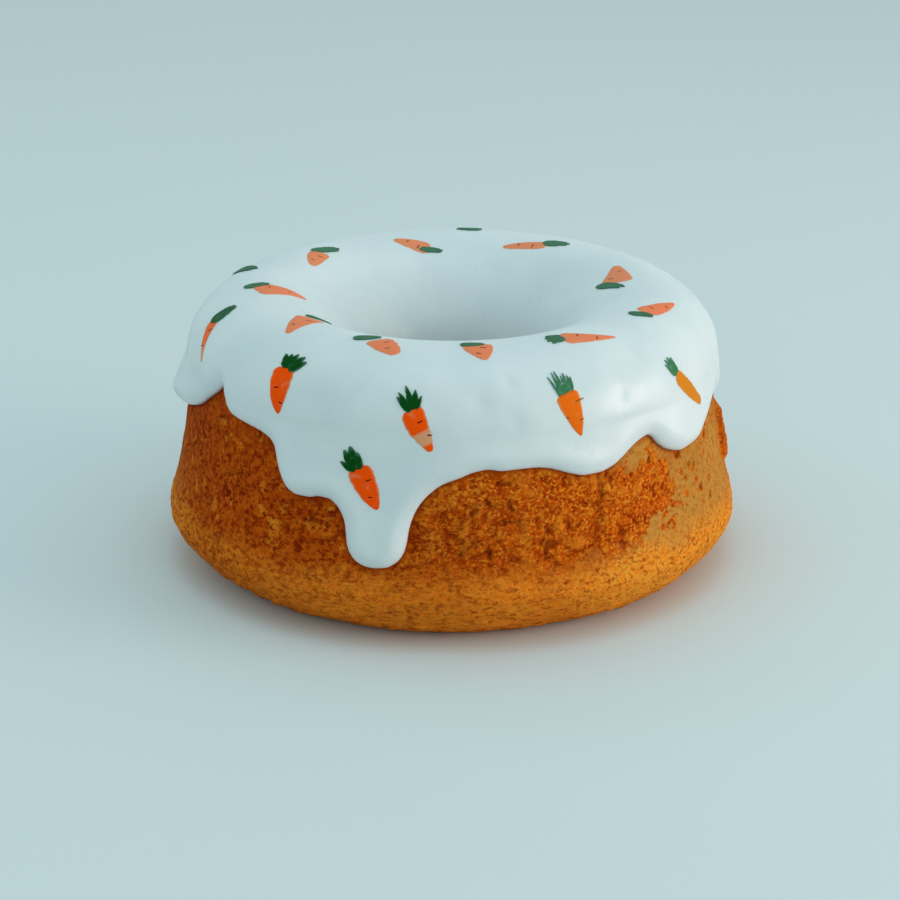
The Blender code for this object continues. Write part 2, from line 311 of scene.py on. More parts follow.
@dataclass(frozen=True)
class Section:
    """Cross-section of the sponge ring: radius outwards, height above the plate."""

    foot_radius: float = 89.5
    bulge_radius: float = 110.0
    bulge_height: float = 20.0
    bulge_fullness: float = 1.48
    bulge_fade: float = 17.0
    wall_radius: float = 101.8
    wall_level: float = 58.0
    wall_taper: float = 0.18
    wall_top: float = 78.0
    crest_radius: float = 73.5
    crest_height: float = 99.6
    shoulder_fullness: float = 2.07
    funnel_radius: float = 43.0
    funnel_drop: float = 20.0
    funnel_power: float = 2.2
    throat_radius: float = 34.5
    throat_height: float = 42.0
    throat_pull: float = 38.0
    hole_foot_radius: float = 36.0
    lean: float = 0.022
    normal_reach: float = 6.0
    stretch_points: int = 241
    table_points: int = 1601

    def wall(self, height: Array) -> Array:
        """Radius of the wall: a straight taper, plus a cosine bulge that fades out with height.

        Args:
            height: heights above the widest ring.

        Returns:
            Radii.
        """
        taper = self.wall_radius - self.wall_taper * (height - self.wall_level)
        extra = self.bulge_radius - (
            self.wall_radius - self.wall_taper * (self.bulge_height - self.wall_level)
        )
        fade = np.clip((height - self.bulge_height) / self.bulge_fade, 0.0, 1.0)
        return taper + extra * (0.5 + 0.5 * np.cos(np.pi * fade))

    def outline(self) -> tuple[Array, Array]:
        """The whole outside and the hole as radii and heights, from the foot to the throat.

        The foot and the shoulder are quarter superellipses, the funnel falls as a power of the
        distance from the highest ring, and the throat is a Hermite curve to the upright hole wall.

        Returns:
            Radii and heights.
        """
        t = np.linspace(0.0, 1.0, self.stretch_points)
        quarter = t * np.pi / 2
        foot = 2 / self.bulge_fullness
        foot_r = self.foot_radius + (self.bulge_radius - self.foot_radius) * np.sin(quarter) ** foot
        foot_z = self.bulge_height * (1 - np.cos(quarter) ** foot)
        wall_z = self.bulge_height + (self.wall_top - self.bulge_height) * t
        curve = 2 / self.shoulder_fullness
        top = float(self.wall(np.array(self.wall_top)))
        shoulder_r = self.crest_radius + (top - self.crest_radius) * np.cos(quarter) ** curve
        shoulder_z = self.wall_top + (self.crest_height - self.wall_top) * np.sin(quarter) ** curve
        funnel_r = self.crest_radius + (self.funnel_radius - self.crest_radius) * t
        funnel_z = self.crest_height - self.funnel_drop * t**self.funnel_power
        throat_r, throat_z = self.throat(t)
        radii = (foot_r, self.wall(wall_z), shoulder_r, funnel_r, throat_r)
        heights = (foot_z, wall_z, shoulder_z, funnel_z, throat_z)
        return (
            np.concatenate([part[:-1] for part in radii]),
            np.concatenate([part[:-1] for part in heights]),
        )

    def throat(self, t: Array) -> tuple[Array, Array]:
        """Hermite curve from the end of the funnel's slope to the upright wall of the hole.

        Args:
            t: shares of the way, from 0 to 1.

        Returns:
            Radii and heights.
        """
        slope = self.funnel_drop * self.funnel_power / (self.crest_radius - self.funnel_radius)
        leaving = self.throat_pull * np.array([-1.0, -slope]) / np.hypot(1.0, slope)
        arriving = np.array([0.0, -self.throat_pull])
        start = np.array([self.funnel_radius, self.crest_height - self.funnel_drop])
        end = np.array([self.throat_radius, self.throat_height])
        first, first_slope, second, second_slope = hermite(np.asarray(t, float)[:, None])
        curve = first * start + first_slope * leaving + second * end + second_slope * arriving
        return curve[:, 0], curve[:, 1]

    @cached_property
    def table(self) -> tuple[Array, Array, Array, Array, Array]:
        """The section at equal steps of run.

        The normal is the outline's slope turned outwards and averaged under a raised cosine window.

        Returns:
            Run, radius, height and the two parts of the smoothed outward normal, in order of run.
        """
        radius, height = self.outline()
        length = np.concatenate([[0.0], np.cumsum(np.hypot(np.diff(radius), np.diff(height)))])
        run = length[np.argmax(height)] - length
        even = np.linspace(run[-1], run[0], self.table_points)
        radius, height = (np.interp(even, run[::-1], line[::-1]) for line in (radius, height))
        kernel = np.hanning(2 * round(self.normal_reach / (even[1] - even[0])) + 1)
        parts = []
        for slope in (-np.gradient(height, even), np.gradient(radius, even)):
            padded = np.pad(slope, len(kernel) // 2, mode="edge")
            parts.append(np.convolve(padded, kernel / kernel.sum(), "valid"))
        return even, radius, height, parts[0], parts[1]

    @property
    def foot_run(self) -> float:
        """Run at the foot of the sponge."""
        return float(self.table[0][-1])

    def at(self, run: Array, offset: Array | float = 0.0) -> tuple[Array, Array]:
        """Radius and height at a run, moved outwards along the section's normal.

        Args:
            run: lengths along the section.
            offset: distances outwards.

        Returns:
            Radii and heights.
        """
        runs, radii, heights, outs, ups = self.table
        out, up = np.interp(run, runs, outs), np.interp(run, runs, ups)
        length = np.hypot(out, up)
        radius = np.interp(run, runs, radii) + offset * out / length
        return radius, np.interp(run, runs, heights) + offset * up / length

    def place(self, azimuth: Array, radius: Array, height: Array) -> Array:
        """Points in space; the whole cake rises a little towards its back.

        Args:
            azimuth: angles about the upright axis.
            radius: distances from it.
            height: heights before the lean.

        Returns:
            Points, with the three coordinates last.
        """
        angle = np.radians(azimuth)
        x, y = radius * np.sin(angle), -radius * np.cos(angle)
        lifted = height * (1 + self.lean * y / self.crest_height)
        return np.stack(np.broadcast_arrays(x, y, lifted), axis=-1)


@dataclass(frozen=True)
class Hem:
    """The icing's two edges: the drips round the outside and the wavy edge in the hole."""

    drips: tuple[tuple[float, float], ...] = (
        (-180, 46), (-171, 54), (-164, 52), (-155, 43), (-146, 49), (-140, 63), (-135, 68),
        (-129.5, 64), (-122, 47), (-114, 44), (-106, 55), (-98, 60), (-86, 56), (-75.4, 51.2),
        (-67.9, 46.4), (-62.3, 40.2), (-59, 36.4), (-57.3, 34.2), (-56, 32.6), (-54.9, 36),
        (-53.5, 39.7), (-51.3, 41.8), (-47.5, 42.6), (-42.9, 43.4), (-39.9, 44.8), (-38.2, 47),
        (-37.3, 51), (-36.4, 55), (-35.2, 58.8), (-33.6, 61.5), (-31.5, 62.7), (-29, 62.6),
        (-26.5, 61.6), (-24.5, 61.8), (-22.9, 63.4), (-21.6, 66.4), (-20.8, 70), (-20.45, 74),
        (-20.1, 77.5), (-19.2, 81), (-17.5, 83.7), (-15, 84.8), (-12.5, 84.3), (-10.4, 82),
        (-9.1, 78.4), (-8.55, 74.5), (-8.3, 71), (-7.7, 66.5), (-6.4, 61.3), (-4.3, 56.7),
        (-1.9, 53.4), (1.5, 51), (4.2, 49.1), (6.9, 48.3), (10, 49), (13, 48.8), (16, 48.7),
        (19.2, 49.5), (21.4, 50.8), (23.8, 52.5), (27, 54), (30, 54.1), (33.1, 53), (35.9, 50.6),
        (38.8, 47.7), (41.5, 45.9), (43.4, 45.4), (44.9, 46.8), (46.5, 50), (49.4, 53.6),
        (53.8, 56), (59, 55.6), (64, 52), (69, 47.5), (75, 44.2), (81, 43), (88, 45), (96, 56),
        (101, 63), (106, 61), (113, 47), (120, 43), (127, 51), (133, 59), (139, 57), (147, 46),
        (156, 46), (163, 57), (170, 58),
    )
    hole_run: float = -58.0
    hole_waves: tuple[tuple[int, float, float], ...] = ((2, 2.0, 40), (3, 2.5, -65), (5, 1.8, 20))
    walk_points: int = 14401
    search_reach: float = 20.0
    search_steps: int = 101
    refinements: int = 3
    refined_steps: int = 9

    def outer(self, azimuth: Array) -> Array:
        """Run of the outer edge: a monotone cubic through the drips, once round the cake.

        Args:
            azimuth: angles from -540 to 540.

        Returns:
            Runs.
        """
        knots = np.array(self.drips, float)
        x = np.concatenate([knots[:, 0] - 360, knots[:, 0], knots[:, 0] + 360])
        y = np.tile(knots[:, 1], 3)
        step = np.diff(x)
        slope = np.diff(y) / step
        tangent = np.zeros(len(x))
        same = slope[:-1] * slope[1:] > 0
        w1, w2 = 2 * step[1:] + step[:-1], step[1:] + 2 * step[:-1]
        safe = np.where(same, slope[:-1], 1.0), np.where(same, slope[1:], 1.0)
        tangent[1:-1] = np.where(same, (w1 + w2) / (w1 / safe[0] + w2 / safe[1]), 0.0)
        i = np.clip(np.searchsorted(x, azimuth, side="right") - 1, 0, len(step) - 1)
        first, first_slope, second, second_slope = hermite((azimuth - x[i]) / step[i])
        value = first * y[i] + second * y[i + 1]
        return value + step[i] * (first_slope * tangent[i] + second_slope * tangent[i + 1])

    def inner(self, azimuth: Array) -> Array:
        """Run of the edge inside the hole: a mean run less a slow sum of cosine waves.

        Args:
            azimuth: angles.

        Returns:
            Runs.
        """
        angle = np.radians(azimuth)
        waves = sum(size * np.cos(n * angle - np.radians(at)) for n, size, at in self.hole_waves)
        return self.hole_run - waves

    def walk(self, count: int, radius: float) -> tuple[Array, Array]:
        """Points at equal lengths along the outer edge, unrolled at one radius.

        Args:
            count: number of points once round.
            radius: radius that turns angles into lengths.

        Returns:
            Azimuths and runs.
        """
        fine = np.linspace(-180.0, 180.0, self.walk_points)
        edge = self.outer(fine)
        length = np.cumsum(np.hypot(np.diff(fine) * radius * np.radians(1.0), np.diff(edge)))
        length = np.concatenate([[0.0], length])
        azimuth = np.interp(np.arange(count) / count * length[-1], length, fine)
        return azimuth, self.outer(azimuth)

    def distance(self, azimuth: Array, run: Array, radius: Array) -> Array:
        """Distance from the outer edge, measured on the unrolled wall.

        The nearest place on the edge is sought first in coarse steps and then in finer ones round it.

        Args:
            azimuth: angles.
            run: runs.
            radius: distances from the upright axis, which turn angles into lengths.

        Returns:
            Distances to the edge within the search's reach.
        """
        azimuth, run, radius = np.broadcast_arrays(azimuth, run, radius)
        nearest = np.full(azimuth.shape, np.inf)
        best = np.zeros(azimuth.shape)
        reach, count = self.search_reach, self.search_steps
        for _ in range(1 + self.refinements):
            centre = best.copy()
            for step in np.linspace(-reach, reach, count):
                turn = centre + step
                across = radius * np.radians(turn)
                down = self.outer(azimuth + turn) - run
                squared = across**2 + down**2
                closer = squared < nearest
                nearest = np.where(closer, squared, nearest)
                best = np.where(closer, turn, best)
            reach, count = 2 * reach / (count - 1), self.refined_steps
        return np.sqrt(nearest)


SECTION = Section()
HEM = Hem()


# ---------------------------------------------------------------- materials


@dataclass
class NodeTree:
    """A few short ways to build a material's or a group's nodes."""

    tree: bpy.types.NodeTree

    def feed(self, socket: bpy.types.NodeSocket, value: object) -> None:
        """Links an output to an input, or sets the input's own value.

        Args:
            socket: the input.
            value: another node's output, or a number or colour.
        """
        if isinstance(value, bpy.types.NodeSocket):
            self.tree.links.new(value, socket)
        else:
            socket.default_value = value

    def add(self, kind: str, values: dict | None = None, **settings: object) -> bpy.types.Node:
        """A new node.

        Args:
            kind: its type.
            values: what its inputs get, by their names or numbers.
            settings: its own properties.

        Returns:
            The node.
        """
        node = self.tree.nodes.new(kind)
        for name, setting in settings.items():
            setattr(node, name, setting)
        for name, value in (values or {}).items():
            self.feed(node.inputs[name], value)
        return node

    def coordinates(self) -> Socket:
        """The piece's own coordinates, in metres."""
        return self.add("ShaderNodeTexCoord").outputs["Object"]

    def uv(self) -> Socket:
        """The piece's own map: across the stroke, then along it."""
        return self.add("ShaderNodeUVMap", uv_map=STROKE_MAP).outputs["UV"]

    def mask(self, name: str) -> Socket:
        """A number stored on the piece's vertices."""
        return self.add("ShaderNodeAttribute", attribute_name=name).outputs["Fac"]

    def math(self, operation: str, first: object, second: object) -> Socket:
        """One step of arithmetic, clamped to between 0 and 1."""
        values = {0: first, 1: second}
        return self.add("ShaderNodeMath", values, operation=operation, use_clamp=True).outputs[0]

    def span(self, value: object, low: float, high: float, start: float = 0.0, end: float = 1.0) -> Socket:
        """Moves the range from low to high onto that from start to end, eased and clamped."""
        values = dict(enumerate((value, low, high, start, end)))
        return self.add("ShaderNodeMapRange", values, interpolation_type="SMOOTHSTEP").outputs[0]

    def mix(self, share: object, first: object, second: object, blend: str = "MIX") -> Socket:
        """A colour between two colours; its colour sockets follow those for numbers and vectors."""
        values = {0: share, 6: first, 7: second}
        return self.add("ShaderNodeMix", values, data_type="RGBA", blend_type=blend).outputs[2]

    def noise(self, vector: object, scale: float, detail: float = 4.0, rough: float = 0.55) -> Socket:
        """Fractal noise from 0 to 1, its scale in waves to the metre."""
        values = {"Vector": vector, "Scale": scale, "Detail": detail, "Roughness": rough}
        return self.add("ShaderNodeTexNoise", values).outputs[0]

    def stretched(self, vector: object, scale: tuple[float, float, float]) -> Socket:
        """Coordinates scaled along each axis."""
        return self.add("ShaderNodeMapping", {"Vector": vector, "Scale": scale}).outputs[0]

    def bump(self, height: object, strength: float, distance: float) -> Socket:
        """A normal roughened by a height."""
        values = {"Strength": strength, "Distance": distance, "Height": height}
        return self.add("ShaderNodeBump", values).outputs[0]

    def group(self, shared: bpy.types.NodeTree, **values: object) -> dict[str, Socket]:
        """The outputs of one use of a shared group, by name."""
        outputs = self.add("ShaderNodeGroup", values, node_tree=shared).outputs
        return {socket.name: socket for socket in outputs}


def new_group(name: str, takes: tuple[tuple[str, str], ...], gives: tuple[tuple[str, str], ...]) -> NodeTree:
    """An empty shader group with named sockets.

    Args:
        name: the group's name.
        takes: name and socket kind of each input.
        gives: name and socket kind of each output.

    Returns:
        The group's nodes, with its input and output nodes in place.
    """
    tree = bpy.data.node_groups.new(name, "ShaderNodeTree")
    for label, kind in takes:
        tree.interface.new_socket(name=label, in_out="INPUT", socket_type=kind)
    for label, kind in gives:
        tree.interface.new_socket(name=label, in_out="OUTPUT", socket_type=kind)
    tree.nodes.new("NodeGroupInput")
    tree.nodes.new("NodeGroupOutput")
    return NodeTree(tree)


@dataclass(frozen=True)
class Grain:
    """One fractal noise of a material: its waves to the metre, detail, roughness and stretch."""

    scale: float
    detail: float
    rough: float
    stretch: tuple[float, float, float] | None = None

    def draw(self, nodes: NodeTree, place: Socket) -> Socket:
        """The noise's nodes in a tree, drawn out where it has a stretch."""
        vector = nodes.stretched(place, self.stretch) if self.stretch else place
        return nodes.noise(vector, self.scale, self.detail, self.rough)


@dataclass(frozen=True)
class CrumbGrain:
    """Baked crumb, as noises of different sizes.

    Coarse and fine are patches 3 and 1.3 mm across; stain is 3 mm across with a rough edge, for
    blotches; freckle is the peaks of a noise 2 mm across; layer is drawn out flat, for the creases
    of the lower band; dust is the finest and feeds only the height, for the relief.
    """

    coarse: Grain = Grain(320.0, 5.0, 0.68)
    fine: Grain = Grain(760.0, 4.0, 0.62, (1.0, 1.1, 1.2))
    dust: Grain = Grain(1500.0, 3.0, 0.6)
    freckle: Grain = Grain(560.0, 3.0, 0.55, (1.1, 1.0, 1.35))
    freckle_peaks: tuple[float, float] = (0.59, 0.65)
    stain: Grain = Grain(360.0, 6.0, 0.72, (0.9, 0.9, 1.3))
    layer: Grain = Grain(240.0, 6.0, 0.7, (1.0, 1.0, 2.6))
    fine_height: float = 0.6
    dust_height: float = 0.4
    freckle_depth: float = 0.3

    def group(self) -> bpy.types.NodeTree:
        """The shared group of baked crumb.

        Returns:
            The group, which takes Vector and gives Coarse, Fine, Stain, Freckle, Layer and Height.
        """
        outputs = ("Coarse", "Fine", "Stain", "Freckle", "Layer", "Height")
        nodes = new_group(
            "crumb_grain",
            (("Vector", "NodeSocketVector"),),
            tuple((name, "NodeSocketFloat") for name in outputs),
        )
        place = nodes.tree.nodes["Group Input"].outputs["Vector"]
        fine = self.fine.draw(nodes, place)
        freckle = nodes.span(self.freckle.draw(nodes, place), *self.freckle_peaks)
        raised = nodes.math("MULTIPLY", fine, self.fine_height)
        dust = nodes.math("MULTIPLY", self.dust.draw(nodes, place), self.dust_height)
        sunk = nodes.math("MULTIPLY", freckle, self.freckle_depth)
        height = nodes.math("SUBTRACT", nodes.math("ADD", raised, dust), sunk)
        coarse, stain, layer = (g.draw(nodes, place) for g in (self.coarse, self.stain, self.layer))
        for name, value in zip(outputs, (coarse, fine, stain, freckle, layer, height)):
            nodes.feed(nodes.tree.nodes["Group Output"].inputs[name], value)
        return nodes.tree


@dataclass(frozen=True)
class BrushMarks:
    """Brushed paint: fine streaks drawn out along the stroke, and a blotchy thickness."""

    streak: Grain = Grain(1.5, 4.0, 0.6, (9.0, 1.6, 1.0))
    blotch: Grain = Grain(420.0, 3.0, 0.6)

    def group(self) -> bpy.types.NodeTree:
        """The shared group of brushed paint.

        Returns:
            The group, which takes Map, the stroke's own map, and Vector, and gives Streak and Blotch.
        """
        nodes = new_group(
            "brush_marks",
            (("Map", "NodeSocketVector"), ("Vector", "NodeSocketVector")),
            (("Streak", "NodeSocketFloat"), ("Blotch", "NodeSocketFloat")),
        )
        inside = nodes.tree.nodes["Group Input"].outputs
        outside = nodes.tree.nodes["Group Output"].inputs
        nodes.feed(outside["Streak"], self.streak.draw(nodes, inside["Map"]))
        nodes.feed(outside["Blotch"], self.blotch.draw(nodes, inside["Vector"]))
        return nodes.tree


@dataclass
class Coating(NodeTree):
    """A material under construction: its nodes and its Principled shader."""

    material: bpy.types.Material

    @classmethod
    def new(cls, name: str, roughness: float, specular: float, colour: Colour) -> "Coating":
        """A new material with its Principled shader's plain settings.

        Args:
            name: the material's name.
            roughness: roughness until something is linked.
            specular: level of the mirror-like part.
            colour: flat colour shown where the nodes aren't read.

        Returns:
            The coating.
        """
        material = bpy.data.materials.new(name)
        material.use_nodes = True
        material.diffuse_color = colour
        made = cls(material.node_tree, material)
        made.set("Base Color", colour)
        made.set("Roughness", roughness)
        made.set("Specular IOR Level", specular)
        return made

    def set(self, name: str, value: object) -> None:
        """Sets or links an input of the shader."""
        self.feed(self.tree.nodes["Principled BSDF"].inputs[name], value)


@dataclass(frozen=True)
class SpongeFinish:
    """Baked carrot sponge: torn orange crumb, stained brown crust, tan crust and a creased band, with
    painted highlights on raised crumb and painted shade in pits, gaps, the crease and under the icing's edge.

    A span is the range of a noise over which one colour passes into the next.
    """

    crumb: Colour = (0.60, 0.100, 0.0034, 1.0)
    # crumb_dark: dark crumb in patches, and the painted shade under the icing's edge
    crumb_dark: Colour = (0.33, 0.034, 0.0012, 1.0)
    # crumb_highlight: painted highlight on raised crumb
    crumb_highlight: Colour = (0.84, 0.29, 0.020, 1.0)
    crust: Colour = (0.56, 0.096, 0.0034, 1.0)
    crust_dark: Colour = (0.40, 0.050, 0.0016, 1.0)
    crust_tan: Colour = (0.53, 0.175, 0.013, 1.0)
    crust_pale: Colour = (0.57, 0.275, 0.050, 1.0)
    band: Colour = (0.88, 0.245, 0.014, 1.0)
    band_dark: Colour = (0.40, 0.064, 0.003, 1.0)
    band_rust: Colour = (0.80, 0.170, 0.012, 1.0)
    band_pale: Colour = (0.80, 0.345, 0.036, 1.0)
    stain: Colour = (0.23, 0.018, 0.0008, 1.0)
    # pore: dark brown of the freckles, and painted shade in the pits, the gaps between crumbs and the crease
    pore: Colour = (0.19, 0.014, 0.0006, 1.0)
    dulling: Colour = (0.78, 0.68, 0.62, 1.0)
    crumb_span: tuple[float, float] = (0.42, 0.52)
    raised_highlight_span: tuple[float, ...] = (0.51, 0.60, 0.0, 0.9)
    gap_shade_span: tuple[float, ...] = (0.36, 0.43, 0.75, 0.0)
    crust_span: tuple[float, float] = (0.36, 0.60)
    tan_span: tuple[float, float] = (0.32, 0.50)
    layer_span: tuple[float, float] = (0.40, 0.51)
    rust_span: tuple[float, float] = (0.49, 0.58)
    chalk_span: tuple[float, float] = (0.44, 0.58)
    stain_span: tuple[float, float] = (0.47, 0.60)
    rust_share: float = 0.7
    chalk_share: float = 0.3
    freckle_share: float = 0.55
    freckle_loss: float = 0.21
    gloss_span: tuple[float, ...] = (0.2, 0.8, 0.9, 0.74)
    bump_strength: float = 0.5
    bump_depth: float = 0.0010

    def torn_crumb(self, n: NodeTree, noise: dict[str, Socket]) -> Socket:
        """Colour of the torn crumb between two oranges: painted highlights on raised specks and painted
        shade in the gaps.

        Args:
            n: the material's nodes.
            noise: the outputs of the crumb's group.

        Returns:
            The colour.
        """
        colour = n.mix(n.span(noise["Coarse"], *self.crumb_span), self.crumb_dark, self.crumb)
        # The fine noise also raises the bump: painted highlight where it is high, painted shade in the gaps
        # where it is low.
        colour = n.mix(n.span(noise["Fine"], *self.raised_highlight_span), colour, self.crumb_highlight)
        colour = n.mix(n.span(noise["Fine"], *self.gap_shade_span), colour, self.pore)
        return n.mix(n.math("MULTIPLY", n.mask("stain"), 0.5), colour, self.crust)

    def skin(self, n: NodeTree, noise: dict[str, Socket]) -> Socket:
        """Colour of the whole crust: brown or tan above, and the creased band near the foot.

        Args:
            n: the material's nodes.
            noise: the outputs of the crumb's group.

        Returns:
            The colour.
        """
        crust = n.mix(n.span(noise["Coarse"], *self.crust_span), self.crust_dark, self.crust)
        tan = n.mix(n.span(noise["Fine"], *self.tan_span), self.crust_tan, self.crust_pale)
        crust = n.mix(n.mask("pale"), crust, tan)
        band = n.mix(n.span(noise["Layer"], *self.layer_span), self.band_dark, self.band)
        rusty = n.math("SUBTRACT", self.rust_share, n.mask("pale"))
        rust = n.math("MULTIPLY", n.span(noise["Coarse"], *self.rust_span), rusty)
        band = n.mix(rust, band, self.band_rust)
        band = n.mix(n.math("MULTIPLY", n.mask("stain"), 0.8), band, crust)
        chalky = n.math("ADD", n.mask("pale"), self.chalk_share)
        chalk = n.math("MULTIPLY", n.span(noise["Fine"], *self.chalk_span), chalky)
        return n.mix(n.mask("band"), crust, n.mix(chalk, band, self.band_pale))

    def make(self, grain: bpy.types.NodeTree) -> bpy.types.Material:
        """The material; it reads the masks torn, pore, lift, band, stain, pale, tone and hem_shade.

        Args:
            grain: the shared group of baked crumb.

        Returns:
            The material.
        """
        n = Coating.new("baked_sponge", 0.86, 0.02, self.crumb)
        noise = n.group(grain, Vector=n.coordinates())
        blotch = n.math("MULTIPLY", n.span(noise["Stain"], *self.stain_span), n.mask("stain"))
        colour = n.mix(n.mask("torn"), self.skin(n, noise), self.torn_crumb(n, noise))
        # Painted highlight: the raised crumb and the lifted flake are lighter.
        colour = n.mix(n.math("MULTIPLY", n.mask("lift"), 0.45), colour, self.crumb_highlight)
        colour = n.mix(blotch, colour, self.stain)
        plain = n.math("MULTIPLY", n.math("ADD", n.mask("pale"), n.mask("band")), self.freckle_loss)
        freckled = n.math("SUBTRACT", self.freckle_share, plain)
        colour = n.mix(n.math("MULTIPLY", noise["Freckle"], freckled), colour, self.pore)
        # Painted shade: the sunken pits and the crease are darkened.
        colour = n.mix(n.math("MULTIPLY", n.mask("pore"), 0.8), colour, self.pore)
        # Painted shade: a thin dark line on the crumb just under the icing's edge.
        colour = n.mix(n.mask("hem_shade"), colour, self.crumb_dark)
        darker = n.mix(1.0, colour, self.dulling, "MULTIPLY")
        n.set("Base Color", n.mix(n.mask("tone"), darker, colour))
        n.set("Roughness", n.span(noise["Height"], *self.gloss_span))
        n.set("Normal", n.bump(noise["Height"], self.bump_strength, self.bump_depth))
        return n.material


@dataclass(frozen=True)
class IcingFinish:
    """Poured sugar icing: glossy, faintly translucent, with very soft mottling."""

    colour: Colour = (0.665, 0.74, 0.75, 1.0)
    shade: Colour = (0.625, 0.71, 0.725, 1.0)
    roughness: float = 0.34
    specular: float = 0.45
    depth: float = 0.003
    glow: float = 0.22
    glow_reach: tuple[float, float, float] = (1.0, 0.95, 0.9)
    mottle: Grain = Grain(42.0, 2.0, 0.45)
    mottle_span: tuple[float, float] = (0.35, 0.65)
    smear: Grain = Grain(90.0, 3.0, 0.55)
    ripple: Grain = Grain(150.0, 2.0, 0.4)
    gloss_span: tuple[float, ...] = (0.3, 0.7, 0.27, 0.42)
    bump_strength: float = 0.12
    bump_depth: float = 0.0006

    def make(self) -> bpy.types.Material:
        """The material.

        Returns:
            The material.
        """
        n = Coating.new("poured_icing", self.roughness, self.specular, self.colour)
        place = n.coordinates()
        slow = n.span(self.mottle.draw(n, place), *self.mottle_span)
        n.set("Base Color", n.mix(slow, self.shade, self.colour))
        n.set("Roughness", n.span(self.smear.draw(n, place), *self.gloss_span))
        n.set("Normal", n.bump(self.ripple.draw(n, place), self.bump_strength, self.bump_depth))
        n.set("Subsurface Weight", self.glow)
        n.set("Subsurface Scale", self.depth)
        n.set("Subsurface Radius", self.glow_reach)
        return n.material


@dataclass(frozen=True)
class PaintFinish:
    """Edible brushed paint of one colour, streaked along the stroke, paler where thin and for a painted sheen.
    """

    name: str
    full: Colour
    deep: Colour
    # thin: paler colour for thin and worn paint, also used for the painted sheen
    thin: Colour
    amber: Colour = (0.62, 0.225, 0.012, 1.0)
    roughness: float = 0.45
    streak_span: tuple[float, float] = (0.40, 0.68)
    streak_share: float = 0.55
    worn_span: tuple[float, ...] = (0.56, 0.72, 0.0, 0.35)
    gloss_span: tuple[float, ...] = (0.3, 0.7, 0.4, 0.55)
    bump_strength: float = 0.25
    bump_depth: float = 0.0002

    def make(self, marks: bpy.types.NodeTree) -> bpy.types.Material:
        """The material; it reads the masks thin (also the painted sheen) and amber and the map stroke.

        Args:
            marks: the shared group of brushed paint.

        Returns:
            The material.
        """
        n = Coating.new(self.name, self.roughness, 0.02, self.full)
        brushed = n.group(marks, Map=n.uv(), Vector=n.coordinates())
        streak = n.math("MULTIPLY", n.span(brushed["Streak"], *self.streak_span), self.streak_share)
        colour = n.mix(streak, self.full, self.deep)
        colour = n.mix(n.span(brushed["Blotch"], *self.worn_span), colour, self.thin)
        colour = n.mix(n.mask("amber"), colour, self.amber)
        n.set("Base Color", n.mix(n.mask("thin"), colour, self.thin))
        n.set("Roughness", n.span(brushed["Streak"], *self.gloss_span))
        n.set("Normal", n.bump(brushed["Streak"], self.bump_strength, self.bump_depth))
        return n.material


@dataclass(frozen=True)
class Finishes:
    """Every material of the cake, made once."""

    sponge: bpy.types.Material
    icing: bpy.types.Material
    root: bpy.types.Material
    leaf: bpy.types.Material
    pale_leaf: bpy.types.Material
    nick: bpy.types.Material


ROOT_PAINT = PaintFinish(
    "carrot_orange", (0.98, 0.090, 0.002, 1.0), (0.92, 0.055, 0.001, 1.0), (0.72, 0.33, 0.17, 1.0)
)
LEAF_PAINT = PaintFinish(
    "leaf_green", (0.003, 0.070, 0.007, 1.0), (0.001, 0.020, 0.003, 1.0), (0.115, 0.27, 0.18, 1.0)
)
PALE_LEAF_PAINT = PaintFinish(
    "leaf_green_thin", (0.05, 0.20, 0.09, 1.0), (0.012, 0.07, 0.03, 1.0), (0.25, 0.45, 0.33, 1.0)
)
NICK_PAINT = PaintFinish(
    "nick_brown", (0.075, 0.012, 0.008, 1.0), (0.03, 0.006, 0.004, 1.0), (0.30, 0.05, 0.01, 1.0)
)


def make_finishes() -> Finishes:
    """Builds the shared groups and then the materials.

    Returns:
        The materials.
    """
    marks = BrushMarks().group()
    return Finishes(
        sponge=SpongeFinish().make(CrumbGrain().group()),
        icing=IcingFinish().make(),
        root=ROOT_PAINT.make(marks),
        leaf=LEAF_PAINT.make(marks),
        pale_leaf=PALE_LEAF_PAINT.make(marks),
        nick=NICK_PAINT.make(marks),
    )


# ---------------------------------------------------------------- the sponge


@dataclass(frozen=True)
class Patch:
    """A soft-edged oval on the unrolled wall."""

    azimuth: float
    height: float
    half_angle: float
    half_height: float
    strength: float

    def weight(self, azimuth: Array, height: Array) -> Array:
        """Gaussian of the distance in half widths: strength * exp(-(u^2 + v^2)).

        Args:
            azimuth: angles.
            height: heights.

        Returns:
            Weights.
        """
        u = turn_between(azimuth, self.azimuth) / self.half_angle
        v = (height - self.height) / self.half_height
        return self.strength * np.exp(-(u**2 + v**2))


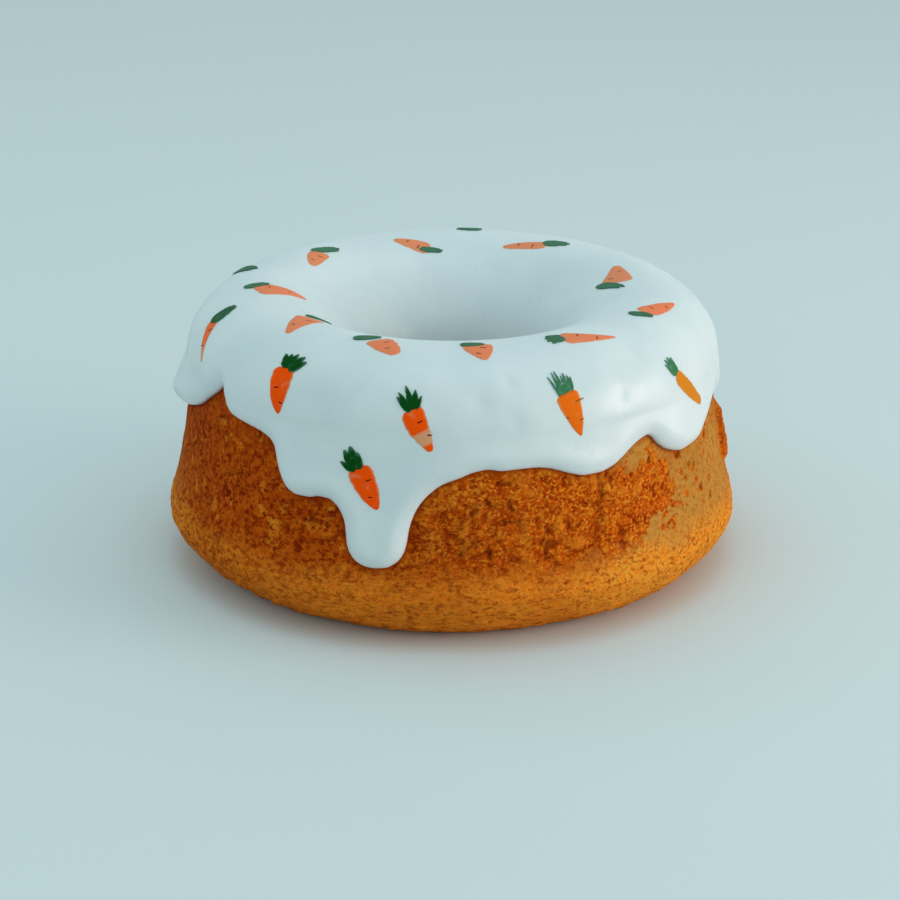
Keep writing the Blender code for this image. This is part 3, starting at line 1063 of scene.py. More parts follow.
@dataclass
class SpongeRing:
    """The baked ring: a finely modelled outer wall, and a plainer core with the hole and the base."""

    section: Section = SECTION
    hem: Hem = HEM
    columns: int = 930
    rows: int = 103
    top_run: float = 27.0
    skin_depth: float = 3.0
    overlap: float = 6.0
    core_columns: int = 300
    core_rows: tuple[int, int, int, int] = (24, 60, 22, 18)
    wall_inset: float = 1.4
    crown_inset: float = 0.15
    covered_share: float = 0.7
    pore_depth: float = 0.9
    crumb_relief: float = 0.6
    swell: float = 0.8
    torn_patches: tuple[Patch, ...] = (
        Patch(-28, 46, 18, 20, 0.30), Patch(2, 46, 22, 19, 1.0), Patch(25, 47, 19, 17, 1.0),
        Patch(46, 50, 14, 11, 0.52), Patch(88, 46, 9, 14, 0.9), Patch(128, 44, 24, 20, 1.0),
        Patch(178, 50, 28, 18, 0.9), Patch(-136, 42, 26, 20, 1.0), Patch(-98, 50, 16, 16, 0.5),
    )
    pale_patches: tuple[Patch, ...] = (
        Patch(66, 44, 24, 28, 1.4), Patch(60, 16, 34, 14, 0.9), Patch(40, 64, 9, 6, 0.8),
        Patch(47, 31, 15, 9, 0.8), Patch(150, 36, 26, 22, 0.9), Patch(-168, 30, 22, 20, 0.7),
        Patch(-92, 26, 22, 22, 0.45),
    )
    stain_patches: tuple[Patch, ...] = (
        Patch(-34, 48, 24, 22, 0.95), Patch(-66, 58, 18, 24, 0.55), Patch(-8, 40, 26, 16, 0.5),
        Patch(-64, 14, 34, 20, 0.75), Patch(100, 60, 20, 14, 0.5), Patch(-160, 56, 34, 16, 0.6),
    )
    slow: Noise = Noise(34.0, 11, 2)
    ragged: Noise = Noise(8.0, 21, 4)
    rough: Noise = Noise(4.2, 81)
    lumps: Noise = Noise(2.2, 91, 2)
    hollows: Noise = Noise(3.3, 51)
    folds: Noise = Noise((13.0, 13.0, 2.3), 101)
    nodules: Noise = Noise(7.0, 111)
    band_waver: Noise = Noise(12.0, 41, 1)
    fraying: Noise = Noise(7.0, 121)
    core_crumb: Noise = Noise(4.2, 131)
    crust_holes: Pits = Pits(4.8, (1.5, 3.6), 0.8, 31)
    torn_pores: Pits = Pits(4.2, (0.8, 2.2), 0.4, 61)
    crust_pores: Pits = Pits(3.2, (0.6, 1.5), 0.6, 71)
    core_pores: Pits = Pits(4.0, (0.9, 2.2), 0.6, 141)
    band_heights: tuple[float, float] = (34.0, 24.0)
    torn_edge: tuple[float, float] = (0.46, 0.54)
    hole_edge: tuple[float, float] = (0.34, 0.46)
    hole_heights: tuple[float, float] = (22.0, 34.0)
    hollow_edge: tuple[float, float] = (0.16, 0.55)
    nodule_edge: tuple[float, float] = (0.15, 0.7)
    nodule_heights: tuple[float, float] = (12.0, 3.0)
    fold_relief: float = 0.4
    nodule_relief: float = 1.1
    crust_pore_depth: float = 0.4
    crease_azimuth: float = 29.5
    crease_depth: float = 0.9
    flake_lift: float = 2.3
    # hem_shade_reach: how far below the icing's edge the painted shade reaches
    hem_shade_reach: float = 0.9

    def fields(self, azimuth: Array, run: Array) -> dict[str, Array]:
        """Height and colour masks over the wall.

        torn is a thresholded sum of the patches and noise, so that its edge breaks into islands,
        and of small ragged holes in the crust. The relief is slow noise, plus rough noise and
        irregular hollows where the crust is torn, plus thin flat creases in the band near the foot,
        and nodules at the foot, less a crease at the front right, plus a lifted flake at the right.

        Args:
            azimuth: angles.
            run: runs on the outside.

        Returns:
            Arrays by name; "relief" is in millimetres and the rest are from 0 to 1.
        """
        radius, height = self.section.at(run)
        points = self.section.place(azimuth, radius, height)
        slow, ragged = self.slow.at(points), self.ragged.at(points)
        rough, lumps = self.rough.at(points), self.lumps.at(points)
        wavering = height + 3.0 * self.band_waver.at(points) + 2.0 * rough
        band = smooth_step(*self.band_heights, wavering)
        patches = self.total(self.torn_patches, azimuth, height)
        torn = smooth_step(*self.torn_edge, patches + 0.6 * ragged + 0.44 * rough + 0.2 * lumps)
        holes = smooth_step(*self.hole_edge, self.crust_holes.at(points) + 0.36 * rough + 0.24 * lumps)
        torn = np.maximum(torn, holes * smooth_step(*self.hole_heights, height)) * (1 - 0.9 * band)
        whole = 1 - torn
        hollows = smooth_step(*self.hollow_edge, self.hollows.at(points))
        pores = np.maximum(hollows, self.torn_pores.at(points))
        small = self.crust_pores.at(points)
        nodules = smooth_step(*self.nodule_edge, self.nodules.at(points))
        nodules = nodules * smooth_step(*self.nodule_heights, height)
        crease, flake = self.crease(azimuth, height, ragged), self.flake(azimuth, height, ragged)
        relief = self.swell * slow + (0.28 + 0.72 * torn) * (self.crumb_relief * rough + 0.3 * lumps)
        relief -= torn * (0.25 + self.pore_depth * pores) + whole * self.crust_pore_depth * small
        relief += band * (self.fold_relief * self.folds.at(points) + 0.25 * lumps)
        relief += self.nodule_relief * nodules - self.crease_depth * crease + self.flake_lift * flake
        # pore marks the sunken pits and the crease, which get painted shade.
        pore = torn * smooth_step(0.25, 0.8, pores) + whole * 0.8 * smooth_step(0.15, 0.6, small)
        stain = np.clip(0.2 + self.total(self.stain_patches, azimuth, height), 0, 1)
        return {
            "relief": relief,
            "torn": np.maximum(torn, 0.9 * flake),
            "pore": np.clip(pore + 0.55 * crease, 0, 1) * (1 - 0.3 * band),
            # lift marks the raised crumb and the flake, which get a painted highlight.
            "lift": np.clip(torn * smooth_step(0.08, 0.42, rough + 0.5 * lumps) + 0.5 * flake, 0, 1),
            "band": band,
            "stain": stain * (1 - 0.3 * band),
            "pale": np.clip(self.total(self.pale_patches, azimuth, height), 0, 1),
            "tone": np.clip(0.6 + 0.6 * slow, 0, 1),
        }

    @staticmethod
    def total(patches: tuple[Patch, ...], azimuth: Array, height: Array) -> Array:
        """Sum of the weights of several patches."""
        return sum(patch.weight(azimuth, height) for patch in patches)

    def crease(self, azimuth: Array, height: Array, ragged: Array) -> Array:
        """A narrow upright crease at the front right: exp(-(u / 0.9)^2) of the angle u from a wavy line.

        Args:
            azimuth: angles.
            height: heights.
            ragged: noise that makes the line uneven.

        Returns:
            Its depth as a share of the whole.
        """
        line = self.crease_azimuth + 1.2 * np.sin(height / 7) + 0.7 * ragged
        depth = np.exp(-((turn_between(azimuth, line) / 0.9) ** 2))
        return depth * smooth_step(27, 36, height) * smooth_step(66, 58, height)

    @staticmethod
    def flake(azimuth: Array, height: Array, ragged: Array) -> Array:
        """A plate of torn crust on the right: steep on its near side, fading on its far side.

        Args:
            azimuth: angles.
            height: heights.
            ragged: noise that frays its outline.

        Returns:
            Its height as a share of the whole.
        """
        near = smooth_step(83.6, 84.6, azimuth + 0.9 * ragged)
        far = smooth_step(95.0, 87.5, azimuth)
        ends = smooth_step(35, 40, height + 2 * ragged) * smooth_step(59, 55, height + 2 * ragged)
        return near * far * ends

    def wall_offset(self, azimuth: Array, run: Array, relief: Array) -> tuple[Array, Array]:
        """Relief held back under the icing, and a mask of painted shade on the crumb just under the icing's
        edge.

        Above the edge the surface may only sink; the change is eased over two millimetres.

        Args:
            azimuth: angles.
            run: runs.
            relief: the free relief.

        Returns:
            The offset from the smooth section, and the mask of painted shade under the icing's edge.
        """
        radius, _ = self.section.at(run)
        distance = self.hem.distance(azimuth, run, radius)
        below = np.where(run > self.hem.outer(azimuth), distance, -distance)
        open_air = smooth_step(-0.5, 2.5, below)
        held = np.minimum(relief, 0.0) * 0.5 - 0.35
        # Painted shade: darkest at the icing's edge, fading within about a millimetre below it.
        hem_shade = np.exp(-(np.maximum(below - 0.3, 0.0) / self.hem_shade_reach))
        return held + (relief - held) * open_air, 0.75 * hem_shade

    def build_wall(self, finishes: Finishes) -> bpy.types.Object:
        """The outer wall: a closed shell whose outer face carries all the relief.

        Args:
            finishes: the cake's materials.

        Returns:
            The piece.
        """
        around = np.arange(self.columns) * 360.0 / self.columns - 180.0
        shares = np.linspace(0.0, 1.0, self.rows)
        runs = self.section.foot_run + (self.top_run - self.section.foot_run) * shares
        azimuth, run = np.meshgrid(around, runs)
        fields = self.fields(azimuth, run)
        offset, hem_shade = self.wall_offset(azimuth, run, fields.pop("relief"))
        radius, height = self.section.at(run, offset)
        points = self.section.place(azimuth, radius, height)
        fray = 0.7 * smooth_step(0.1, 0.8, self.fraying.at(points))
        points[..., 2] = np.maximum(points[..., 2], fray * smooth_step(5, 0, height))
        inner = []
        for back in (self.top_run, self.section.foot_run - self.overlap):
            inside, level = self.section.at(np.full(self.columns, back), -self.skin_depth)
            inner.append(self.section.place(around, inside, level))
        rows = np.concatenate([points, np.array(inner)])
        quads = grid_quads(len(rows), self.columns, True, True)
        piece = new_piece("sponge_wall", rows.reshape(-1, 3), quads, finishes.sponge)
        fields["hem_shade"] = hem_shade
        for name, values in fields.items():
            add_mask(piece, name, np.concatenate([values, np.zeros((2, self.columns))]))
        return piece

    def core_profile(self) -> tuple[Array, Array, Array, Array]:
        """The core's section, once round from the foot over the crown and down the hole to the base.

        It lies a little inside the smooth section, and its wall well inside the wall's own shell.

        Returns:
            Radii, heights, and which of the rows are bare in the hole and which are in the base.
        """
        section = self.section
        wall_rows, crown_rows, hole_rows, base_rows = self.core_rows
        outside = np.linspace(section.foot_run - 4.0, self.top_run + self.overlap, wall_rows)
        crown = np.linspace(self.top_run, -section.foot_run, crown_rows)
        crown = crown[crown > section.table[0][0]]
        share = np.linspace(0.0, 1.0, hole_rows)
        hole_radius = section.throat_radius + share * (section.hole_foot_radius - section.throat_radius)
        base = np.linspace(section.hole_foot_radius, section.foot_radius - 2.0, base_rows)[1:]
        radii_out, heights_out = section.at(outside, -self.wall_inset)
        radii_top, heights_top = section.at(crown, -self.crown_inset)
        radii = np.concatenate([radii_out, radii_top, hole_radius, base])
        fall = section.throat_height * (1 - share)
        heights = np.concatenate([heights_out, heights_top, fall, np.zeros(len(base))])
        row = np.arange(len(radii))
        in_base = row >= len(radii) - len(base)
        covered = len(outside) + int(self.covered_share * len(crown))
        return radii, heights, (row >= covered) & ~in_base, in_base

    def build_core(self, finishes: Finishes) -> bpy.types.Object:
        """The rest of the ring: base, hole and the part under the icing, inside the wall's shell.

        Args:
            finishes: the cake's materials.

        Returns:
            The piece.
        """
        around = np.arange(self.core_columns) * 360.0 / self.core_columns - 180.0
        radius, height, in_hole, in_base = self.core_profile()
        azimuth, radii = np.meshgrid(around, radius)
        heights = np.broadcast_to(height[:, None], radii.shape)
        bare, base = (row[:, None] * np.ones(radii.shape) for row in (in_hole, in_base))
        points = self.section.place(azimuth, radii, heights)
        crumb, pore = self.core_crumb.at(points), self.core_pores.at(points)
        inward = bare * (self.crumb_relief * crumb - self.pore_depth * pore)
        points = self.section.place(azimuth, radii - np.minimum(inward, 0.5), heights)
        points[..., 2] += base * (0.7 * pore + 0.35 * np.maximum(crumb, 0.0))
        points[..., 2] = np.maximum(points[..., 2], 0.0)
        quads = grid_quads(len(radius), self.core_columns, True, True)
        piece = new_piece("sponge_core", points.reshape(-1, 3), quads, finishes.sponge)
        # Painted highlight on raised crumb (lift, tone) and painted shade in the pits and hollows (pore,
        # tone).
        masks = {
            "torn": 0.6 * np.ones(radii.shape),
            "pore": smooth_step(0.15, 0.7, pore),
            "lift": 0.6 * smooth_step(0.2, 0.7, crumb),
            "band": base,
            "stain": 0.3 * np.ones(radii.shape),
            "pale": 0.4 * base,
            "tone": np.clip(0.55 + 0.3 * crumb, 0, 1),
            "hem_shade": np.zeros(radii.shape),
        }
        for name, values in masks.items():
            add_mask(piece, name, values)
        return piece

    def build(self, finishes: Finishes) -> list[bpy.types.Object]:
        """Builds the wall and the core.

        Args:
            finishes: the cake's materials.

        Returns:
            The pieces.
        """
        pieces = [self.build_wall(finishes), self.build_core(finishes)]
        for piece in pieces:
            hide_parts("cake_sponge")
        return pieces


# ---------------------------------------------------------------- the icing


@dataclass(frozen=True)
class Swell:
    """A soft rise of the icing, or a hollow where its size is negative."""

    azimuth: float
    run: float
    size: float
    reach: float

    def height(self, azimuth: Array, run: Array, radius: Array) -> Array:
        """Gaussian of the distance over the surface: size * exp(-(d / reach)^2)."""
        across = np.radians(turn_between(azimuth, self.azimuth)) * radius
        return self.size * np.exp(-((across**2 + (run - self.run) ** 2) / self.reach**2))


@dataclass
class IcingCoat:
    """White icing poured over the crown: it ends in drips outside and a wavy edge in the hole."""

    section: Section = SECTION
    hem: Hem = HEM
    gap: float = 0.4
    coat: float = 3.2
    edge: float = 0.35
    edge_round: float = 5.2
    under_lift: float = -0.2
    roll: float = 4.6
    columns: int = 900
    swells: tuple[Swell, ...] = (
        Swell(-87, 49, 2.8, 10), Swell(-84, 36, -1.3, 9), Swell(53, 45, 1.6, 11),
        Swell(-14, 74, 1.0, 9), Swell(-27, 55, 0.8, 9), Swell(-136, 58, 1.6, 11),
        Swell(102, 53, 1.5, 11), Swell(167, 49, 1.4, 11),
    )
    dimples: tuple[Swell, ...] = (
        Swell(12.1, 19.9, -0.75, 2.6), Swell(5.6, 25.1, -0.5, 3.4), Swell(12.5, 31.9, -0.4, 3.0),
        Swell(36.4, 28.6, -0.6, 2.8), Swell(-143.6, -22.9, -0.5, 2.2), Swell(117, -26.7, -0.5, 3.0),
        Swell(-24.5, 42.0, -0.35, 1.8), Swell(48.0, 19.0, 0.5, 4.0), Swell(62.0, 22.0, 0.45, 4.5),
        Swell(57.0, 14.5, -0.3, 3.0), Swell(-24.0, 24.0, 0.45, 4.5), Swell(-5.0, 17.0, 0.35, 5.0),
        Swell(8.0, 13.0, 0.3, 5.0), Swell(33.0, 20.0, 0.35, 4.5), Swell(-60.0, 22.0, 0.4, 6.0),
    )
    lumps: Noise = Noise(17.0, 151, 2)
    lump_height: float = 0.32
    wall_runs: tuple[float, float] = (8.0, 30.0)
    low_runs: tuple[float, float] = (44.0, 70.0)
    bead_place: float = 5.0
    bead_reach: float = 3.5
    bead_height: float = 0.35
    low_bead: float = 0.5
    crown_start: float = 22.0
    crown_end: float = -40.0
    margin: float = 8.0
    drift_window: int = 121
    straight_rows: int = 34
    sweeps: int = 500
    rim_rows: int = 15
    wall_rows: int = 28
    crown_rows: int = 36
    funnel_rows: int = 7
    under_rows: int = 12

    def thickness(self, azimuth: Array, run: Array) -> Array:
        """Thickness of the coat: even, swollen where it gathered, and round towards both edges.

        A bead, a Gaussian of the distance from the outer edge, runs along the drips and is higher
        where they hang low. With d the distance from the nearer edge and R the rounding, the coat
        is edge + (coat - edge) * sqrt(1 - (1 - d/R)^2) within R.

        Args:
            azimuth: angles.
            run: runs.

        Returns:
            Thicknesses.
        """
        azimuth, run = np.broadcast_arrays(np.asarray(azimuth, float), np.asarray(run, float))
        radius, height = self.section.at(run)
        points = self.section.place(azimuth, radius, height)
        coat = self.coat + sum(s.height(azimuth, run, radius) for s in self.swells + self.dimples)
        wall = smooth_step(*self.wall_runs, run)
        coat = coat + self.lump_height * (0.35 + wall) * self.lumps.at(points)
        outer = self.hem.distance(azimuth, run, radius)
        low = smooth_step(*self.low_runs, self.hem.outer(azimuth))
        bead = np.exp(-(((outer - self.bead_place) / self.bead_reach) ** 2))
        coat = coat + (self.bead_height + self.low_bead * low) * bead
        distance = np.minimum(outer, np.abs(self.hem.inner(azimuth) - run))
        inward = 1 - np.clip(distance / self.edge_round, 0.0, 1.0)
        return self.edge + (coat - self.edge) * np.sqrt(np.maximum(1 - inward**2.0, 0.0))

    def surface(self, azimuth: Array, run: Array, lift: Array | float = 0.0) -> Array:
        """Points of the icing's outer face, or a little above or below it.

        Args:
            azimuth: angles.
            run: runs.
            lift: distances above the face.

        Returns:
            Points in space.
        """
        radius, height = self.section.at(run, self.gap + self.thickness(azimuth, run) + lift)
        return self.section.place(azimuth, radius, height)

    @staticmethod
    def untangle(x: Array, y: Array, period: float, sweeps: int) -> tuple[Array, Array]:
        """Smooths a grid between its first and last rows so that its lines no longer cross.

        Each inner point moves to where Winslow's elliptic equation a*p_uu - 2b*p_uv + c*p_vv = 0
        holds, with a = |p_v|^2, b = p_u . p_v and c = |p_u|^2, over a number of sweeps.

        Args:
            x: places round the cake, with the columns along the last axis.
            y: runs.
            period: length once round.
            sweeps: how often every point is moved.

        Returns:
            The two arrays, smoothed.
        """
        for _ in range(sweeps):
            wide = [np.concatenate([x[:, -1:] - period, x, x[:, :1] + period], axis=1)]
            wide.append(np.concatenate([y[:, -1:], y, y[:, :1]], axis=1))
            side = [(w[1:-1, 2:] - w[1:-1, :-2]) / 2 for w in wide]
            rise = [(w[2:, 1:-1] - w[:-2, 1:-1]) / 2 for w in wide]
            a, c = rise[0] ** 2 + rise[1] ** 2, side[0] ** 2 + side[1] ** 2
            b = side[0] * rise[0] + side[1] * rise[1]
            moved = []
            for w in wide:
                corner = w[2:, 2:] - w[2:, :-2] - w[:-2, 2:] + w[:-2, :-2]
                level = a * (w[1:-1, 2:] + w[1:-1, :-2]) + c * (w[2:, 1:-1] + w[:-2, 1:-1])
                moved.append((level - b * corner / 2) / (2 * (a + c) + 1e-9))
            x, y = x.copy(), y.copy()
            x[1:-1], y[1:-1] = moved
        return x, y

    def rows(self) -> tuple[Array, Array]:
        """Azimuths and runs of the grid: crowded along the drips' edge and even over the crown.

        The lower rows are drawn straight from the edge to the crown, where the columns lie at slowly
        varying angles, untangled, and then spaced anew along each column: steps that grow with the
        distance from the edge, then equal ones. The last rows crowd towards the edge in the hole.

        Returns:
            Azimuths and runs, one row of columns for each row of the grid.
        """
        period = 360.0 * self.section.wall_radius * np.radians(1.0)
        at, edge = self.hem.walk(self.columns, self.section.wall_radius)
        even = np.arange(self.columns) * 360.0 / self.columns - 180.0
        drift, kernel, half = at - even, np.hanning(self.drift_window), self.drift_window // 2
        padded = np.concatenate([drift[-half:], drift, drift[:half]])
        crown = even + np.convolve(padded, kernel / kernel.sum(), "valid")
        share = np.linspace(0, 1, self.straight_rows)[:, None]
        x, y = (at + (crown - at) * share) * period / 360.0, edge + (self.crown_start - edge) * share
        x, y = self.untangle(x, y, period, self.sweeps)
        length = np.cumsum(np.hypot(*np.diff([x, y], axis=1)), 0)
        length = np.concatenate([np.zeros((1, self.columns)), length])
        rim = self.roll * (1 - np.cos(np.linspace(0, np.pi / 2, self.rim_rows)))[:, None]
        close = rim * np.minimum(1.0, 0.35 * length[-1] / self.roll)
        wanted = np.concatenate([close, np.linspace(close[-1], length[-1], self.wall_rows)[1:]])
        low_azimuth = resample(wanted, length, x) * 360.0 / period
        inner = self.hem.inner(crown)
        fall = np.linspace(0, 1, self.funnel_rows)[1:, None]
        ease = 1 - np.cos(np.linspace(np.pi / 2, 0, self.rim_rows)[1:, None])
        top = np.linspace(self.crown_start, self.crown_end, self.crown_rows)[1:, None]
        last = np.concatenate([
            top + np.zeros(self.columns),
            self.crown_end + (inner + self.margin - self.crown_end) * fall,
            inner + self.margin * ease,
        ])
        azimuths = np.concatenate([low_azimuth, np.broadcast_to(crown, last.shape)])
        return azimuths, np.concatenate([resample(wanted, length, y), last])

    def build(self, finishes: Finishes) -> bpy.types.Object:
        """The coat as one closed ring, its outer face and a plain underside.

        Args:
            finishes: the cake's materials.

        Returns:
            The piece.
        """
        azimuth, run = self.rows()
        face = self.surface(azimuth, run)
        pick = np.linspace(len(run) - 1, 0, self.under_rows).astype(int)
        radius, height = self.section.at(run[pick], self.under_lift)
        under = self.section.place(azimuth[pick], radius, height)
        points = np.concatenate([face, under])
        quads = grid_quads(len(points), self.columns, True, True)
        piece = new_piece("icing_coat", points.reshape(-1, 3), quads, finishes.icing)
        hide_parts("icing")
        return piece


# ---------------------------------------------------------------- painted carrots


class Tuft(Enum):
    """Ways in which a tuft of leaves was brushed on.

    Each blade is (along, across, angle, length, width, bend): where it starts from the middle of the
    crown in millimetres, the angle of its path from straight back, its length and greatest width,
    and its sideways bend as a share of the length.
    """

    FAN = (
        (0.4, 0.6, -26, 5.8, 3.4, 0.06), (0.4, 0.8, -4, 5.2, 3.2, 0.0), (0.4, 1.0, 26, 5.6, 3.4, 0.04),
        (0.6, 1.6, 52, 6.6, 3.4, 0.05), (0.8, 2.0, 74, 6.6, 3.2, 0.1),
    )
    BLADES = (
        (0.5, -0.4, -26, 6.6, 2.2, -0.05), (0.4, -0.2, -14, 7.2, 2.4, 0.0), (0.3, 0.6, 6, 7.8, 2.6, 0.04),
        (0.4, 1.2, 30, 5.8, 2.8, 0.06), (0.6, 1.8, 54, 4.2, 1.8, 0.08),
    )
    UPRIGHT = (
        (0.6, -1.4, -46, 6.0, 2.6, -0.12), (0.4, -0.9, -12, 8.0, 4.0, 0.0), (0.4, -0.5, 6, 8.4, 4.4, 0.03),
        (0.5, 0.0, 24, 5.8, 3.6, 0.08),
    )
    SPIKES = (
        (0.2, -2.6, -8, 7.0, 0.9, 0.0), (0.2, -2.1, 4, 7.8, 1.0, -0.03), (0.2, -1.2, -2, 6.0, 1.2, 0.0),
        (0.2, -0.5, 4, 7.8, 1.1, 0.03), (0.2, 0.5, 8, 5.6, 1.3, 0.0), (0.2, 1.3, 14, 6.2, 1.1, 0.05),
        (0.2, 2.1, 20, 5.0, 1.2, 0.05), (0.2, 2.6, 28, 4.4, 1.0, 0.06), (0.2, 0.0, 0, 3.4, 5.6, 0.0),
    )
    BRUSH = (
        (0.5, -1.0, -14, 6.6, 2.4, 0.04), (0.4, -0.3, -4, 7.2, 2.8, 0.0), (0.4, 0.5, 8, 6.8, 2.8, 0.0),
        (0.5, 1.1, 20, 5.8, 2.4, -0.04),
    )
    FLAT = (
        (5.0, 0.0, 0, 10.0, 3.3, 0.03), (4.2, 0.8, 4, 8.6, 2.3, 0.05), (4.4, -0.8, -4, 8.2, 2.2, -0.05),
    )
    OVAL = (
        (1.6, 0.8, 4, 9.6, 4.8, 0.04), (1.0, 1.6, -10, 8.6, 3.6, 0.06), (1.8, 0.2, 14, 8.8, 3.4, 0.02),
    )


@dataclass(frozen=True)
class Stroke:
    """One brush stroke on a carrot's own plan: a lens of paint carried along a bent path."""

    along: float
    across: float
    heading: float
    length: float
    width: float
    bend: float = 0.0
    head: float = 0.2
    tip: float = 0.2
    taper: float = 1.7
    ragged: float = 0.06
    body: float = 0.16
    base: float = 0.03
    seed: int = 1

    def plan(self, s: Array, t: Array) -> tuple[Array, Array]:
        """Places on the plan of a point s along the stroke and t across it.

        The path is a straight line plus bend * length * s^2 sideways. The half width is
        width/2 * sqrt(1 - (1 - s/head)^2.6) up to the head's share, times 1 - (1 - tip) * s^taper,
        closed by the same round law over the last few hundredths, and frayed by noise on each side.

        Args:
            s: shares of the length.
            t: shares of the half width, from -1 to 1.

        Returns:
            Lengths along and across the carrot's axis.
        """
        head = np.sqrt(1 - (1 - np.clip((s + 0.03) / self.head, 0, 1)) ** 2.6)
        end = np.sqrt(1 - (1 - np.clip((1.01 - s) / 0.06, 0, 1)) ** 2)
        half = self.width / 2 * head * end * (1 - (1 - self.tip) * s**self.taper)
        side = np.sign(t)
        forward = s * self.length
        place = np.stack([forward, 3.0 * side + self.seed * 7.3, np.full(s.shape, 0.5)], axis=-1)
        half = half * (1 + self.ragged * 2.2 * Noise(1.3, self.seed).at(place))
        angle = np.radians(self.heading)
        sideways = self.bend * self.length * s**2 + t * half
        along = self.along + forward * np.cos(angle) - sideways * np.sin(angle)
        return along, self.across + forward * np.sin(angle) + sideways * np.cos(angle)

    def lift(self, s: Array, t: Array) -> Array:
        """Height of the paint: base + body * sqrt(1 - t^2), lower towards both ends."""
        ends = smooth_step(0.0, 0.06, s) * smooth_step(1.0, 0.93, s)
        return self.base + self.body * np.sqrt(np.maximum(1 - t**2, 0.0)) * (0.35 + 0.65 * ends)


@dataclass(frozen=True)
class PaintedCarrot:
    """One small carrot: its place on the icing, the root's shape, its nicks and its tuft.

    azimuth and run are the middle of the crown, and heading is the root's direction, 0 down the run
    and growing towards larger azimuths. turn, shift and leaf_size turn, move and stretch the tuft.
    painted_sheen is how much paler the paint is made, as a painted sheen, and amber how yellow, both from 0
    to 1, and a nick is its share of the length, its share of the half width and its size.
    """

    azimuth: float
    run: float
    heading: float
    length: float
    width: float
    tuft: Tuft = Tuft.OVAL
    turn: float = 0.0
    shift: tuple[float, float] = (0.0, 0.0)
    leaf_size: tuple[float, float] = (1.0, 1.0)
    bend: float = 0.0
    tip: float = 0.14
    taper: float = 1.7
    pale_band: tuple[float, float] | None = None
    fades: bool = False
    pale_leaves: bool = False
    # painted_sheen: the paint made paler all over, a painted sheen
    painted_sheen: float = 0.0
    amber: float = 0.0
    nicks: tuple[tuple[float, float, float], ...] = ((0.3, 0.3, 2.2), (0.62, -0.1, 1.8))
    under_lift: float = -0.08
    root_grid: tuple[int, int] = (36, 11)
    leaf_grid: tuple[int, int] = (24, 7)

    def on_icing(self, icing: IcingCoat, along: Array, across: Array, lift: Array) -> Array:
        """Points on the icing from lengths along and across the carrot's own axis.

        Args:
            icing: the coat that the paint lies on.
            along: lengths towards the root's tip.
            across: lengths to the side.
            lift: heights over the icing.

        Returns:
            Points in space.
        """
        angle = np.radians(self.heading)
        down = along * np.cos(angle) - across * np.sin(angle)
        side = along * np.sin(angle) + across * np.cos(angle)
        radius, _ = icing.section.at(np.asarray(self.run), icing.coat)
        return icing.surface(self.azimuth + np.degrees(side / radius), self.run + down, lift)

    def lay(
        self, icing: IcingCoat, strokes: list[Stroke], name: str, finish: bpy.types.Material,
        size: tuple[int, int],
    ) -> tuple[bpy.types.Object, Array]:
        """Lays strokes on the icing as closed lenses in one mesh.

        Args:
            icing: the coat that the paint lies on.
            strokes: the strokes, lowest first.
            name: the piece's name.
            finish: the paint.
            size: number of rows of vertices along a stroke, and of vertices across its upper face.

        Returns:
            The piece, and one pair of values per vertex: across and along its stroke.
        """
        stations, lanes = size
        share = 0.5 - 0.5 * np.cos(np.linspace(0, np.pi, stations))
        lane = np.sin(np.linspace(-np.pi / 2, np.pi / 2, lanes))
        s, t = np.meshgrid(share, lane, indexing="ij")
        own = np.stack([np.concatenate([t, t[:, ::-1]], 1), np.concatenate([s, s], 1)], -1)
        index = np.arange(2 * lanes * stations).reshape(stations, 2 * lanes)
        over, under = index[[0, -1], :lanes], index[[0, -1], : lanes - 1 : -1]
        caps = np.stack([over[:, :-1], over[:, 1:], under[:, 1:], under[:, :-1]], -1)
        lens = np.concatenate([grid_quads(stations, 2 * lanes, False, True), caps[0, :, ::-1], caps[1]])
        points = []
        for stroke in strokes:
            along, across = stroke.plan(s, t)
            top = self.on_icing(icing, along, across, stroke.lift(s, t))
            bottom = self.on_icing(icing, along, across, np.full(s.shape, self.under_lift))
            points.append(np.concatenate([top, bottom[:, ::-1]], axis=1).reshape(-1, 3))
        quads = np.concatenate([lens + index.size * count for count in range(len(strokes))])
        piece = new_piece(name, np.concatenate(points), quads, finish)
        values = np.tile(own.reshape(-1, 2), (len(strokes), 1))
        self.write_map(piece, values)
        return piece, values

    @staticmethod
    def write_map(piece: bpy.types.Object, values: Array) -> None:
        """Writes the strokes' map: across in u and along in v.

        Args:
            piece: the mesh object.
            values: one pair per vertex.
        """
        layer = piece.data.uv_layers.new(name=STROKE_MAP)
        corners = corner_vertices(piece.data)
        layer.data.foreach_set("uv", values[corners].astype(np.float32).ravel())

    def build_root(self, icing: IcingCoat, name: str, finishes: Finishes, seed: int) -> bpy.types.Object:
        """The orange root with its dark nicks.

        Args:
            icing: the coat that the paint lies on.
            name: the solid that the piece stands for.
            finishes: the cake's materials.
            seed: picks the fraying.

        Returns:
            The piece.
        """
        body = Stroke(
            0.0, 0.0, 0.0, self.length, self.width, self.bend, tip=self.tip, taper=self.taper,
            ragged=0.05, body=0.2, seed=seed,
        )
        strokes = [body]
        for count, (place, side, size) in enumerate(self.nicks):
            strokes.append(
                Stroke(
                    place * self.length, side * self.width / 2 - size / 2, 84.0 - 20 * (count % 2), size,
                    0.55, 0.05, head=0.4, tip=0.4, ragged=0.15, body=0.08, base=0.21, seed=seed + 7 + count,
                )
            )
        piece, values = self.lay(icing, strokes, f"{name}_paint", finishes.root, self.root_grid)
        across, share = values.T
        thin = 0.75 * smooth_step(0.86, 1.0, np.abs(across))
